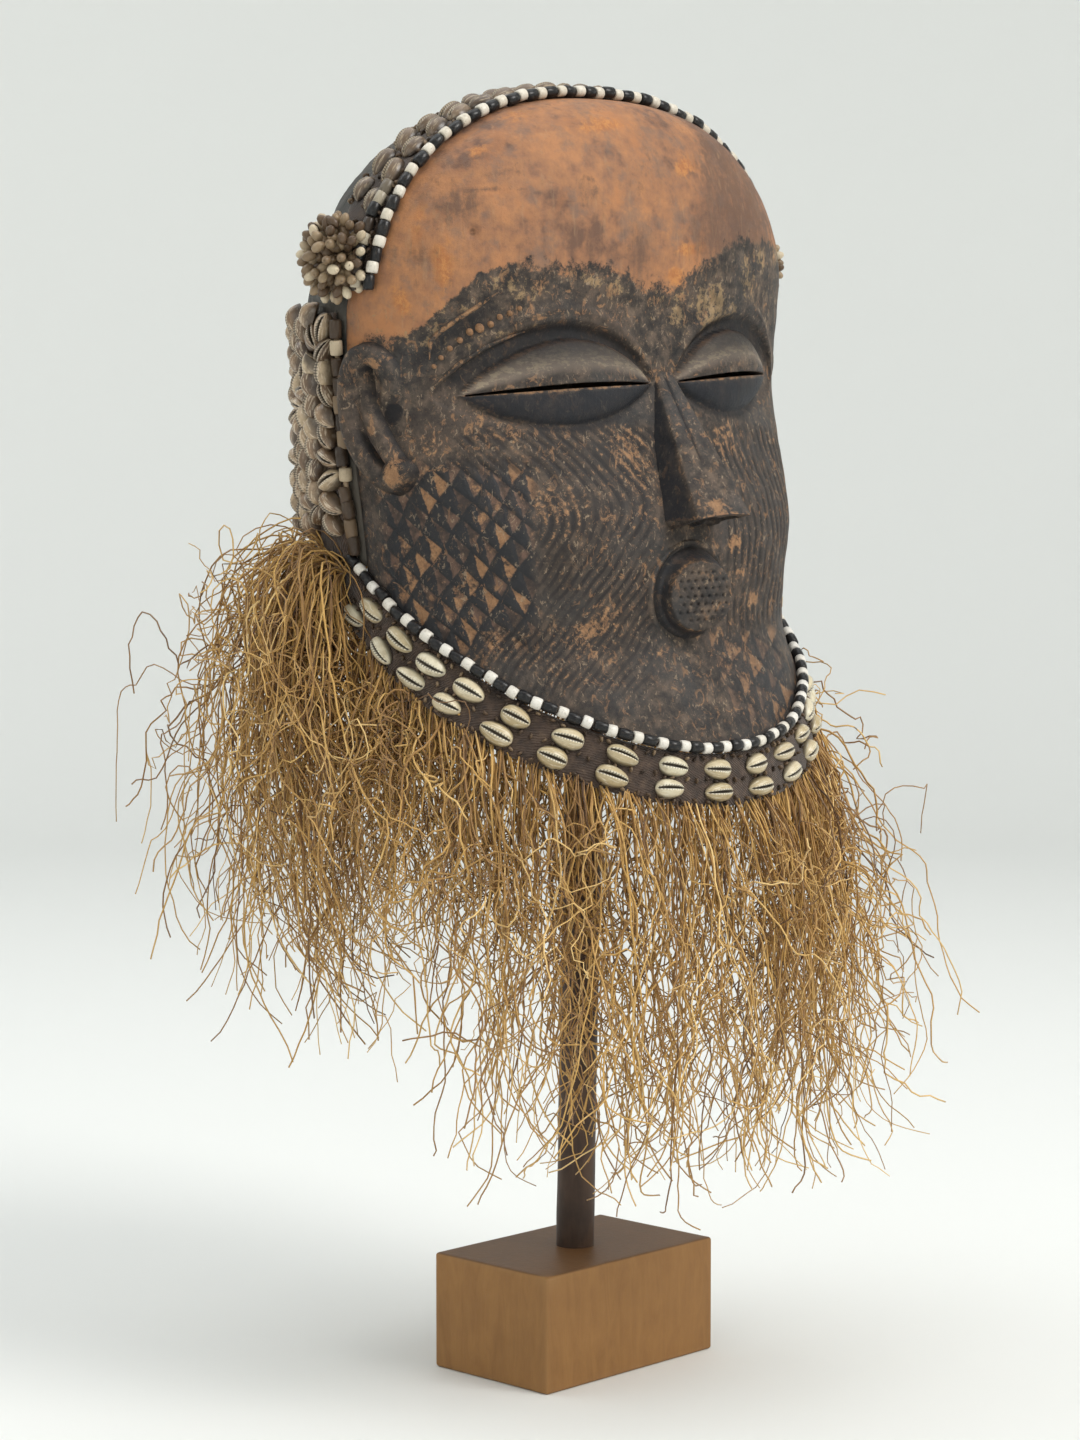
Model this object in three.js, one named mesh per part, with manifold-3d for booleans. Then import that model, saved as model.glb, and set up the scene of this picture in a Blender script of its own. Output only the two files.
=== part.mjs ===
// Beaded wooden face mask with hood, cowrie bands and raffia, on a rod and a wooden block.
// Millimetres, +Z up. The origin is the middle of the block's underside and the face looks
// towards -Y. The mask itself is modelled upright and then turned and tipped on its rod.
import * as THREE from 'three';
import { mergeVertices } from 'three/addons/utils/BufferGeometryUtils.js';
import Module from 'manifold-3d';

const wasm = await Module();
wasm.setup();

// Driving dimensions of the stand
const GAP = 0.3;
const BLOCK = { wide: 116, deep: 74, tall: 55, bevel: 1.2 };
const ROD = { radius: 9.1, lean: 1.3, socket: 30, top: 582, sides: 24 };

// How the mask sits on the rod: turned and rolled in degrees about a point at this height
const SEAT = { turn: -2.7, roll: -2.2, height: 400 };

// Sections of the face by height: how far forward the midline is, half the width,
// how square the section is, and where the rear edge lies
const FACE = [
  { z: 255, front: -94, half: 106, square: 2.05, rear: 25 },
  { z: 280, front: -97, half: 113, square: 2.05, rear: 24 },
  { z: 300, front: -97, half: 119, square: 2.1, rear: 22.5 },
  { z: 325, front: -86, half: 121, square: 2.25, rear: 20 },
  { z: 350, front: -76.5, half: 117, square: 2.3, rear: 19 },
  { z: 375, front: -77.5, half: 115.5, square: 2.4, rear: 17 },
  { z: 400, front: -78, half: 118, square: 2.45, rear: 15 },
  { z: 430, front: -68, half: 124, square: 2.3, rear: 12.5 },
  { z: 460, front: -60.5, half: 126.5, square: 2.15, rear: 12 },
  { z: 485, front: -59, half: 129.5, square: 2.1, rear: 9.5 },
  { z: 500, front: -58.2, half: 130.3, square: 2.2, rear: 8 },
];

// The dome of the forehead and crown above the last section. Each curve holds the two powers
// that draw its half width, front or back in towards the top.
const DOME = {
  foot: 500, top: 597.2, half: 130.3, front: 66.2, back: 104, square: 2.2, rear: 8, rearTop: -13,
  halfCurve: [2.08, 2.36], frontCurve: [1.62, 2.49], backCurve: [4.78, 3.82],
};
const NAPE_DEPTH = 89;

// Walls
const WOOD_WALL = 11;
const HOOD_WALL = 4;
const CLOTH = 2.4;

// Where the jaw is cut off: a height that falls towards the chin
const JAW = { rear: 23.5, rearHeight: 388, reach: 121, drop: 90, curve: 0.9, band: 25 };

// The bead line over the forehead, a plane that leans forward as it rises
const ARCH = { y: -4.5, z: 504.4, lean: 0.128, width: 28, spread: 88, shells: 74 };

// The features tilt a little about the root of the nose
const FEATURES = { x: 0.8, z: 465.2, tilt: -2.3 };
const EYES = [
  { side: -1, inner: -8, outer: -102, up: 21, down: 17.5, brow: 30.5, browOuter: -110 },
  { side: 1, inner: 8, outer: 88, up: 21, down: 17.5, brow: 29.5, browOuter: 100 },
];
const LID = { bulge: 7.5, arch: 1.5, slit: 1.15, hollow: 4.5 };
const NOSE = {
  top: 470, base: 405, rise: 9,
  rootY: -61, tipY: -103, rootHalf: 3.4, tipHalf: 13.5, rootFoot: 7.5, tipFoot: 18.5,
};
const MOUTH = { x: -0.8, z: 369.5, base: 21.5, disc: 15.8, stand: 11, tilt: 8 };
const EAR = { y: -3.5, z: 451, rim: 4.6 };

// Trim
const BEAD = 2.7;
const SHELL = { wide: 9.9, tall: 4.2 };
const ROSETTE = { y: 0, z: 523, reach: 12, bead: 7.4, patch: 3, lift: 1.2 };
const PANEL = { top: 497, bottom: 393, string: 3.2, from: 6.8, to: 72, columns: 5, pitch: 12.4 };
const BAND_SPAN = 87;
const HOOD_HEM = 386;

// How far the outer face of a cloth stands off the wood or the hood
const OVER = 1.3 + CLOTH;

// Raffia: where it ends below, and how far its outer and inner faces stand off its roots.
// The beard is cut short towards its rear ends, and the nape is fullest at its corners
const BEARD = { bottom: 98, rise: 118, cut: [0.6, 0.86], outer: [4, 28], inner: [4, 18], span: 82 };
const NAPE = {
  top: 384.6, hump: 8, bottom: 206, span: 84, bunch: 50,
  back: [8, 30], corner: [20, 36], inner: [3, 12],
};

const rad = THREE.MathUtils.degToRad;
const lerp = THREE.MathUtils.lerp;
const clamp = THREE.MathUtils.clamp;
const signedPower = (value, power) => Math.sign(value) * Math.abs(value) ** power;

// Solids

function toManifold(geometry) {
  geometry.deleteAttribute('normal');
  geometry.deleteAttribute('uv');
  const merged = mergeVertices(geometry, 1e-3);
  const vertProperties = new Float32Array(merged.attributes.position.array);
  const source = merged.index.array;
  const kept = [];
  for (let i = 0; i < source.length; i += 3) {
    const [a, b, c] = [source[i], source[i + 1], source[i + 2]];
    if (a !== b && b !== c && a !== c) kept.push(a, b, c);
  }
  if (enclosed(vertProperties, kept) < 0) {
    for (let i = 0; i < kept.length; i += 3) [kept[i], kept[i + 1]] = [kept[i + 1], kept[i]];
  }
  const triVerts = new Uint32Array(kept);
  return new wasm.Manifold(new wasm.Mesh({ numProp: 3, vertProperties, triVerts }));
}

function enclosed(points, triangles) {
  const [a, b, c] = [new THREE.Vector3(), new THREE.Vector3(), new THREE.Vector3()];
  let volume = 0;
  for (let i = 0; i < triangles.length; i += 3) {
    a.fromArray(points, 3 * triangles[i]);
    b.fromArray(points, 3 * triangles[i + 1]);
    c.fromArray(points, 3 * triangles[i + 2]);
    volume += a.dot(b.cross(c)) / 6;
  }
  return volume;
}

function toGeometry(manifold) {
  const { vertProperties, triVerts } = manifold.getMesh();
  const geometry = new THREE.BufferGeometry();
  geometry.setAttribute('position', new THREE.BufferAttribute(new Float32Array(vertProperties), 3));
  geometry.setIndex(new THREE.BufferAttribute(new Uint32Array(triVerts), 1));
  geometry.computeVertexNormals();
  return geometry;
}

// A box whose vertices are moved by place(u, v, w), each from 0 to 1
function sculpt(nu, nv, nw, place) {
  const geometry = new THREE.BoxGeometry(1, 1, 1, nu, nv, nw);
  const position = geometry.attributes.position;
  for (let i = 0; i < position.count; i++) {
    const [u, v, w] = [position.getX(i) + 0.5, position.getY(i) + 0.5, position.getZ(i) + 0.5];
    position.setXYZ(i, ...place(u, v, w));
  }
  return toManifold(geometry);
}

function moved(geometry, x, y, z, rotation = new THREE.Euler()) {
  const turn = new THREE.Quaternion().setFromEuler(rotation);
  geometry.applyMatrix4(new THREE.Matrix4().compose(new THREE.Vector3(x, y, z), turn,
    new THREE.Vector3(1, 1, 1)));
  return toManifold(geometry);
}

// The surface of the head

function along(z, key) {
  const last = FACE.length - 1;
  const height = clamp(z, FACE[0].z, FACE[last].z);
  const slope = (i) => {
    const [before, after] = [FACE[Math.max(i - 1, 0)], FACE[Math.min(i + 1, last)]];
    return i === last ? 0 : (after[key] - before[key]) / (after.z - before.z);
  };
  const i = clamp(FACE.findIndex((row) => row.z >= height) - 1, 0, last - 1);
  const step = FACE[i + 1].z - FACE[i].z;
  const t = (height - FACE[i].z) / step;
  return FACE[i][key] * (1 + 2 * t) * (1 - t) ** 2 + slope(i) * step * t * (1 - t) ** 2
    + FACE[i + 1][key] * t * t * (3 - 2 * t) + slope(i + 1) * step * t * t * (t - 1);
}

// Half width, depth in front of and behind the rear edge, at a height, drawn in by inset
function section(z, inset = 0) {
  if (z < DOME.foot) {
    const rear = along(z, 'rear');
    return {
      half: along(z, 'half') - inset,
      front: rear - along(z, 'front') - inset,
      back: NAPE_DEPTH - inset,
      square: along(z, 'square'),
      rear,
    };
  }
  const u = clamp((z - DOME.foot) / (DOME.top - inset - DOME.foot), 0, 1);
  const drawnIn = ([inner, outer]) => (1 - u ** inner) ** (1 / outer);
  return {
    half: (DOME.half - inset) * drawnIn(DOME.halfCurve),
    front: (DOME.front - inset) * drawnIn(DOME.frontCurve),
    back: (lerp(NAPE_DEPTH, DOME.back, u) - inset) * drawnIn(DOME.backCurve),
    square: DOME.square,
    rear: lerp(DOME.rear, DOME.rearTop, (z - DOME.foot) / (DOME.top - DOME.foot)),
  };
}

// A point of the surface at a height and an angle: 0 is the front, 90 the side, 180 the back
function ring(z, degrees, inset = 0) {
  const s = section(z, inset);
  const [sine, cosine] = [Math.sin(rad(degrees)), Math.cos(rad(degrees))];
  const depth = cosine > 0 ? s.front : s.back;
  return [
    s.half * signedPower(sine, 2 / s.square),
    s.rear - depth * signedPower(cosine, 2 / s.square),
    z,
  ];
}

// How deep a point is inside the head: under 1 is inside
function fill(x, y, z) {
  if (z >= DOME.top) return 2 + (z - DOME.top);
  const s = section(z);
  const depth = y < s.rear ? s.front : s.back;
  return (Math.abs(x / s.half) ** s.square + Math.abs((y - s.rear) / depth) ** s.square) ** (1 / s.square);
}

// The point where a line from the inside leaves the head, and the outward direction there
function leave(origin, direction) {
  let [near, far] = [0, 260];
  for (let i = 0; i < 40; i++) {
    const middle = (near + far) / 2;
    const point = origin.map((value, axis) => value + middle * direction[axis]);
    if (fill(...point) < 1) near = middle;
    else far = middle;
  }
  return origin.map((value, axis) => value + near * direction[axis]);
}

function outward([x, y, z]) {
  const d = 0.4;
  const normal = new THREE.Vector3(
    fill(x + d, y, z) - fill(x - d, y, z),
    fill(x, y + d, z) - fill(x, y - d, z),
    fill(x, y, z + d) - fill(x, y, z - d),
  );
  return normal.normalize();
}

function lifted(point, height) {
  const normal = outward(point);
  return [point[0] + height * normal.x, point[1] + height * normal.y, point[2] + height * normal.z];
}

// The front surface at a place seen from the front
function frontY(x, z) {
  const s = section(z);
  const q = clamp(Math.abs(x) / s.half, 0, 1);
  return s.rear - s.front * (1 - q ** s.square) ** (1 / s.square);
}

// Heights that step evenly over the dome: share runs from 0 at low to 1 at the top
function climb(share, low, straight, inset = 0) {
  if (share <= straight) return lerp(low, DOME.foot, share / straight);
  const angle = (Math.PI / 2) * (share - straight) / (1 - straight);
  return DOME.foot + (DOME.top - inset - DOME.foot) * Math.sin(angle) ** (2 / 2.3);
}

const jawHeight = (y) => {
  const share = clamp((JAW.rear - y) / JAW.reach, 0, 1.2);
  return JAW.rearHeight - JAW.drop * share ** JAW.curve;
};

// Feature positions, measured from the root of the nose, into the mask's own x and z
function feature(across, up) {
  const tilt = rad(FEATURES.tilt);
  return [
    FEATURES.x + across * Math.cos(tilt) - up * Math.sin(tilt),
    FEATURES.z - across * Math.sin(tilt) + up * Math.cos(tilt),
  ];
}

// The carved wooden face

function faceShell() {
  const low = 262;
  const outer = sculpt(28, 22, 1, (u, v, w) => {
    const z = climb(v, low, 0.66);
    const [x, y] = ring(z, lerp(-90, 90, u));
    return [x, w > 0.5 ? y : section(z).rear, z];
  });
  const inner = sculpt(14, 11, 1, (u, v, w) => {
    const z = climb(v, low - 20, 0.62, WOOD_WALL);
    const [x, y] = ring(z, lerp(-90, 90, u), WOOD_WALL);
    return [x, w > 0.5 ? y : section(z).rear + 25, z];
  });
  const under = sculpt(1, 8, 1, (u, v, w) => {
    const y = lerp(-125, 40, v);
    return [lerp(-160, 160, u), y, w > 0.5 ? jawHeight(y) : 200];
  });
  return { outer, inner, under };
}

// An eye's outline: from corner to corner, with its middle line and its reach up and down
function eyeOutline(eye, grow, share) {
  const from = eye.inner - eye.side * grow;
  const to = eye.outer + eye.side * grow;
  const across = lerp(from, to, share);
  const bow = 4 * share * (1 - share);
  return { across, bow, line: LID.arch * bow };
}

function lid(eye, up) {
  return sculpt(10, 3, 1, (u, v, w) => {
    const share = (1 - Math.cos(Math.PI * u)) / 2;
    const { across, bow, line } = eyeOutline(eye, 0, share);
    const reach = up ? eye.up : -eye.down;
    const [x, z] = feature(across, line + v * reach * bow ** 0.85);
    const bulge = LID.bulge * (1 - v ** 2.2) ** 0.7 * bow ** 0.55;
    return [x, frontY(x, z) + (w > 0.5 ? 1.5 - bulge - (up ? 0.8 : 0) * bow : LID.hollow + 5), z];
  });
}

function socket(eye) {
  const wide = { ...eye, outer: eye.browOuter };
  return sculpt(10, 3, 1, (u, v, w) => {
    const share = (1 - Math.cos(Math.PI * u)) / 2;
    const { across, bow, line } = eyeOutline(wide, 2, share);
    const up = lerp(-(eye.down + 3), eye.brow, v);
    const [x, z] = feature(across, line + up * bow ** 0.7);
    const deep = LID.hollow * (0.25 + 0.75 * v) * bow ** 0.3;
    return [x, frontY(x, z) + (w > 0.5 ? -30 : deep), z];
  });
}

function slit(eye) {
  return sculpt(8, 1, 1, (u, v, w) => {
    const share = lerp(0.015, 0.985, u);
    const { across, bow, line } = eyeOutline(eye, 0, share);
    const [x, z] = feature(across, line + lerp(-1, 1, v) * LID.slit * (0.35 + 0.65 * bow));
    return [x, frontY(x, z) + (w > 0.5 ? -30 : 42), z];
  });
}

function nose() {
  const corners = [-1, -0.98, -0.5, 0, 0.5, 0.98, 1];
  const across = (u) => corners[Math.round(u * 6)];
  return sculpt(6, 6, 2, (u, v, w) => {
    const side = across(u);
    const onTop = Math.abs(side) < 0.9;
    const half = onTop ? lerp(NOSE.tipHalf, NOSE.rootHalf, v) * side / 0.5
      : lerp(NOSE.tipFoot, NOSE.rootFoot, v) * side;
    const ridge = lerp(NOSE.tipY, NOSE.rootY, v) + (Math.abs(side) < 0.4 ? 0 : 1.4);
    const up = lerp(NOSE.base, NOSE.top, v) - FEATURES.z - (1 - w) * (1 - v) * NOSE.rise;
    const [x, z] = feature(half, up);
    const skin = frontY(x, z);
    if (onTop) return [x, lerp(skin + 6, ridge, w), z];
    const foot = Math.abs(side) > 0.99 ? 6 : lerp(6, -0.5, w);
    return [x, skin + foot, z];
  });
}

function nostril(side) {
  const geometry = new THREE.SphereGeometry(1, 8, 4);
  geometry.scale(6.2, 5, 3.4);
  const [x, z] = feature(side * 7, NOSE.base - FEATURES.z - 5.6);
  return moved(geometry, x, NOSE.tipY + 14.5, z, new THREE.Euler(rad(-18), side * rad(6), 0));
}

function mouthDrum() {
  const outline = [[0, -14], [MOUTH.base, -14], [MOUTH.base, 0.5], [MOUTH.base - 2.5, 3],
    [MOUTH.disc, MOUTH.stand - 0.6], [MOUTH.disc - 3, MOUTH.stand], [0, MOUTH.stand + 0.6]];
  const geometry = new THREE.LatheGeometry(outline.map(([r, h]) => new THREE.Vector2(r, h)), 18);
  return moved(geometry, MOUTH.x - 2.2, frontY(0, MOUTH.z), MOUTH.z,
    new THREE.Euler(rad(180 + MOUTH.tilt), 0, 0));
}

// An ear is a curled rim, an inner fold and a thin dish that joins them to the cheek
function ear(side) {
  const at = (forward, up, out) => {
    const z = EAR.z + up;
    const y = EAR.y - forward;
    const s = section(z);
    const depth = Math.min(Math.abs((y - s.rear) / s.front), 1);
    const x = (s.half * (1 - depth ** s.square) ** (1 / s.square)) + out;
    return new THREE.Vector3(side * x, y, z);
  };
  const rimPath = [[14, 12, -2.5], [14, 23, -1], [6, 30, 2], [-4, 28, 5], [-9, 15, 7.5], [-9, -3, 7.5],
    [-4, -17, 5.5], [5, -27, 3], [13, -28, 0.5], [16, -20, -1]];
  const foldPath = [[4, 17, 0.5], [-2, 8, 3.5], [-1, -4, 3.5], [5, -16, 2.5], [12, -22, 0.5]];
  const tube = (path, wide, thick, steps, curveSegments) => {
    const curve = new THREE.CatmullRomCurve3(path.map((p) => at(...p)));
    const profile = new THREE.Shape();
    profile.absellipse(0, 0, thick, wide, 0, 2 * Math.PI);
    return toManifold(new THREE.ExtrudeGeometry(profile, { steps, curveSegments, extrudePath: curve }));
  };
  const dish = sculpt(3, 4, 1, (u, v, w) => {
    const forward = lerp(-8, 12, u);
    const up = lerp(-22, 26, v);
    const p = at(forward, up, w > 0.5 ? lerp(2, 0, u) : -5);
    return [p.x, p.y, p.z];
  });
  return tube(rimPath, EAR.rim, EAR.rim + 0.6, 13, 3).add(tube(foldPath, 3.4, 3.8, 6, 3)).add(dish);
}

function earHole(side) {
  const geometry = new THREE.CylinderGeometry(3.3, 3.3, 50, 8);
  const [x, y] = [side * 114, -8.5];
  return moved(geometry, x, y, 455, new THREE.Euler(0, 0, rad(90)));
}

function woodenMask() {
  const { outer, inner, under } = faceShell();
  let solid = outer;
  for (const eye of EYES) solid = solid.subtract(socket(eye)).add(lid(eye, true)).add(lid(eye, false));
  solid = solid.add(nose()).add(mouthDrum());
  for (const side of [-1, 1]) solid = solid.add(ear(side)).subtract(nostril(side));
  solid = solid.subtract(inner).subtract(under);
  for (const eye of EYES) solid = solid.subtract(slit(eye));
  for (const side of [-1, 1]) solid = solid.subtract(earHole(side));
  return solid;
}

// Cloth

// A point of the arch over the head: angle from the crown, and how far behind the bead line
function archPoint(degrees, behind) {
  const angle = rad(degrees);
  const origin = [0, ARCH.y + behind, ARCH.z];
  return leave(origin, [Math.sin(angle), -ARCH.lean * Math.cos(angle), Math.cos(angle)]);
}

function hood() {
  const wrap = (z, u, inset) => {
    const [x, y] = ring(z, lerp(90, 270, u), inset);
    return [x, Math.max(y, section(z).rear) + GAP, z];
  };
  const place = (inset, straight) => (u, v, w) => {
    const high = w > 0.5 ? 0 : inset;
    return wrap(climb(v, HOOD_HEM, straight, high), u, high);
  };
  return sculpt(18, 11, 1, place(HOOD_WALL, 0.42));
}

function headbandCloth() {
  return sculpt(26, 3, 1, (u, v, w) => {
    const degrees = lerp(-ARCH.spread, ARCH.spread, u);
    const point = archPoint(degrees, lerp(0.4, ARCH.width, v));
    return lifted(point, w > 0.5 ? 0.8 + CLOTH : 0.8);
  });
}

const panelAngle = (z, arc) => 90 + (arc / section(z).half) * (180 / Math.PI);

function panelPoint(side, z, arc, height) {
  const [x, y] = ring(z, panelAngle(z, arc));
  return lifted([side * x, y, z], height);
}

function panelCloth(side) {
  return sculpt(6, 3, 1, (u, v, w) => {
    const z = lerp(PANEL.bottom - 3, PANEL.top + 3, v);
    return panelPoint(side, z, lerp(PANEL.from, PANEL.to, u), w > 0.5 ? 1.1 + CLOTH : 1.1);
  });
}

// The jaw line at an angle round the face, and the way the band hangs from it
function jawPoint(degrees) {
  let z = 300;
  for (let i = 0; i < 30; i++) z = lerp(z, jawHeight(ring(z, degrees)[1]), 0.5);
  return ring(z, degrees);
}

function jawDown(point) {
  const normal = outward(point);
  const fall = new THREE.Vector3(0, 0.63, -0.777);
  return fall.addScaledVector(normal, -fall.dot(normal)).normalize();
}

function bandPoint(degrees, down, height) {
  const start = jawPoint(degrees);
  const normal = outward(start);
  const fall = jawDown(start);
  return start.map((value, axis) => value + down * fall.getComponent(axis)
    + height * normal.getComponent(axis));
}

function jawBandCloth() {
  return sculpt(30, 1, 1, (u, v, w) => {
    const degrees = lerp(-BAND_SPAN, BAND_SPAN, u);
    return bandPoint(degrees, lerp(1, JAW.band, v), w > 0.5 ? CLOTH : -0.6);
  });
}

// Strings and rows

// A round string of beads drawn as one thin rod along a list of points
function beadString(points, radius = BEAD) {
  const curve = new THREE.CatmullRomCurve3(points.map((p) => new THREE.Vector3(...p)));
  const profile = new THREE.Shape();
  for (let i = 0; i < 4; i++) {
    const angle = Math.PI * i / 2;
    profile[i ? 'lineTo' : 'moveTo'](radius * Math.cos(angle), radius * Math.sin(angle));
  }
  return toManifold(new THREE.ExtrudeGeometry(profile, { steps: points.length, extrudePath: curve }));
}

// A row of shells sewn end to end: at(share, across, height) gives a point on the cloth
function shellRow(count, at) {
  const outline = [[-1, 0], [-0.6, 0.85], [0.6, 0.85], [1, 0]];
  const stations = 2 * count;
  return sculpt(3, stations, 1, (u, v, w) => {
    const swell = Math.round(v * stations) % 2 ? 1 : 0.34;
    const [side, rise] = outline[Math.round(u * 3)];
    return at(v, side * swell * SHELL.wide / 2, w > 0.5 ? 0.3 + rise * swell * SHELL.tall : 0);
  });
}

// A field of shells in touching columns: at(across, along, height) gives a point on the cloth
function shellField(columns, rows, staggered, at) {
  return sculpt(2 * columns, 2 * rows, 1, (u, v, w) => {
    const i = Math.round(u * 2 * columns);
    const j = Math.round(v * 2 * rows);
    const onColumn = i % 2 === 1;
    const onShell = onColumn && (j + (staggered ? (i - 1) / 2 : 0)) % 2 === 1;
    const rise = onShell ? 1 : (onColumn ? 0.45 : 0.15);
    return at(u, v, w > 0.5 ? 0.3 + rise * SHELL.tall : 0);
  });
}

function headbandShells() {
  return shellField(2, 20, true, (u, v, height) => {
    const degrees = lerp(-ARCH.shells, ARCH.shells, v);
    return lifted(archPoint(degrees, lerp(0.1, 0.95, u) * ARCH.width), OVER + height);
  });
}

function panelShells(side) {
  return shellField(PANEL.columns, 9, true, (u, v, height) => {
    const z = lerp(PANEL.bottom, PANEL.top, v);
    const arc = PANEL.from + 1 + u * PANEL.columns * PANEL.pitch;
    return panelPoint(side, z, arc, OVER + 0.5 + height);
  });
}

function jawShells(down, count, inset) {
  return shellRow(count, (v, across, height) => {
    const degrees = lerp(-BAND_SPAN + inset, BAND_SPAN - inset, v);
    return bandPoint(degrees, down + across, CLOTH + 1.2 + height);
  });
}

function archBeads() {
  const points = Array.from({ length: 41 }, (_, i) => {
    const degrees = lerp(-ARCH.spread, ARCH.spread, i / 40);
    return lifted(archPoint(degrees, -BEAD - 0.2), BEAD + 0.7);
  });
  return beadString(points);
}

function jawBeads() {
  const points = Array.from({ length: 41 }, (_, i) => {
    const degrees = lerp(-BAND_SPAN + 1, BAND_SPAN - 1, i / 40);
    const [x, y, z] = bandPoint(degrees, -1.5, BEAD + 0.8);
    return [x, y, z];
  });
  return beadString(points, 2.5);
}

function panelBeads(side) {
  const points = Array.from({ length: 8 }, (_, i) => {
    const z = lerp(PANEL.bottom, PANEL.top - 2, i / 7);
    return panelPoint(side, z, PANEL.string, 3.8);
  });
  return beadString(points, 3);
}

// A rosette is a low dome of bead clusters
function rosette(side) {
  const [x, y, z] = leave([0, ROSETTE.y, ROSETTE.z], [side, 0.04, 0]);
  const rings = [[0, 1, 9], [ROSETTE.reach, 8, 6]];
  const foot = OVER + ROSETTE.lift;
  const patch = new THREE.CylinderGeometry(ROSETTE.reach, ROSETTE.reach, ROSETTE.patch, 8);
  const sideways = new THREE.Euler(0, 0, rad(90));
  let solid = moved(patch, x + side * (foot + ROSETTE.patch / 2 + 0.5), y, z, sideways);
  for (const [reach, count, rise] of rings) {
    for (let i = 0; i < count; i++) {
      const angle = 2 * Math.PI * (i + reach / 40) / count;
      const geometry = new THREE.OctahedronGeometry(1, 0);
      geometry.scale(rise, ROSETTE.bead, ROSETTE.bead);
      const bead = moved(geometry, x + side * (foot + rise + 0.5), y + reach * Math.cos(angle),
        z + reach * Math.sin(angle), new THREE.Euler(angle, 0, 0));
      solid = solid.add(bead);
    }
  }
  return solid;
}

// Raffia

// Locks give a fringe its ridged face and its ragged foot
const lock = (degrees, count, phase) => 0.5 + 0.5 * Math.cos(rad(degrees * count) + phase);

function raffiaBeard() {
  return sculpt(30, 4, 1, (u, v, w) => {
    const degrees = lerp(-BEARD.span, BEARD.span, u);
    const down = 1 - v;
    const start = bandPoint(degrees, JAW.band + 1, 0.5);
    const normal = outward(jawPoint(degrees));
    const away = new THREE.Vector3(normal.x, normal.y, 0).normalize();
    const short = THREE.MathUtils.smoothstep(Math.abs(degrees) / BEARD.span, ...BEARD.cut);
    const foot = BEARD.bottom + BEARD.rise * short + 14 * lock(degrees, 12, 1.1);
    const ridge = 5 * (lock(degrees, 14, 0.4) - 0.5) * down;
    const out = w > 0.5
      ? BEARD.outer[0] + BEARD.outer[1] * down ** 0.6 + ridge
      : -BEARD.inner[0] - BEARD.inner[1] * down ** 0.75;
    return [start[0] + away.x * out, start[1] + away.y * out, lerp(foot, start[2], v)];
  });
}

// A stretch of the fringe under the hood's hem, between two angles from the middle of the back
function raffiaNape(from, to, columns) {
  return sculpt(columns, 4, 1, (u, v, w) => {
    const degrees = lerp(from, to, u);
    const down = 1 - v;
    const [x, y] = ring(HOOD_HEM, 180 + degrees);
    const away = new THREE.Vector3(x / 1.6, y - 15, 0).normalize();
    const full = (Math.abs(degrees) / NAPE.span) ** 0.7;
    const ridge = 3 * (lock(degrees, 16, 0) - 0.5);
    const root = lerp(NAPE.back[0], NAPE.corner[0], full);
    const spread = lerp(NAPE.back[1], NAPE.corner[1], full);
    const out = w > 0.5
      ? root + spread * down ** 0.4 + ridge
      : -NAPE.inner[0] - NAPE.inner[1] * down ** 1.2;
    const foot = NAPE.bottom + 14 * lock(degrees, 10, 0.7);
    const top = NAPE.top + (w > 0.5 ? NAPE.hump * full : 0);
    return [x + away.x * out, y + away.y * out, lerp(foot, top, v)];
  });
}

// Stand

function block() {
  const { wide, deep, tall, bevel } = BLOCK;
  const shape = new THREE.Shape();
  shape.moveTo(-wide / 2 + bevel, -deep / 2 + bevel);
  shape.lineTo(wide / 2 - bevel, -deep / 2 + bevel);
  shape.lineTo(wide / 2 - bevel, deep / 2 - bevel);
  shape.lineTo(-wide / 2 + bevel, deep / 2 - bevel);
  const geometry = new THREE.ExtrudeGeometry(shape, {
    depth: tall - 2 * bevel, bevelThickness: bevel, bevelSize: bevel, bevelSegments: 1,
  });
  return moved(geometry, 0, 0, bevel).subtract(rod(GAP));
}

// The rod leans forward and ends in a plain cut
function rod(clearance) {
  const from = BLOCK.tall - ROD.socket - clearance;
  const long = ROD.top + clearance - from;
  const radius = ROD.radius + clearance;
  const geometry = new THREE.CylinderGeometry(radius, radius, long, ROD.sides);
  geometry.rotateX(Math.PI / 2);
  geometry.translate(0, 0, from + long / 2 - BLOCK.tall);
  return moved(geometry, 0, 0, BLOCK.tall, new THREE.Euler(rad(ROD.lean), 0, 0));
}

// Assembly

const COLOURS = {
  oak: ['#9a6a41', 0.6], rod: ['#33231c', 0.5], wood: ['#5a4740', 0.62], hide: ['#4c4a47', 0.7],
  cloth: ['#4a3b35', 0.9], shell: ['#cfc3a4', 0.35], beads: ['#d9d6cc', 0.3],
  seeds: ['#b09a74', 0.4], raffia: ['#a8854e', 0.85],
};

function piece(name, manifold, colour) {
  const [color, roughness] = COLOURS[colour];
  const mesh = new THREE.Mesh(toGeometry(manifold),
    new THREE.MeshStandardMaterial({ color, roughness, metalness: 0 }));
  mesh.name = name;
  return mesh;
}

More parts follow.
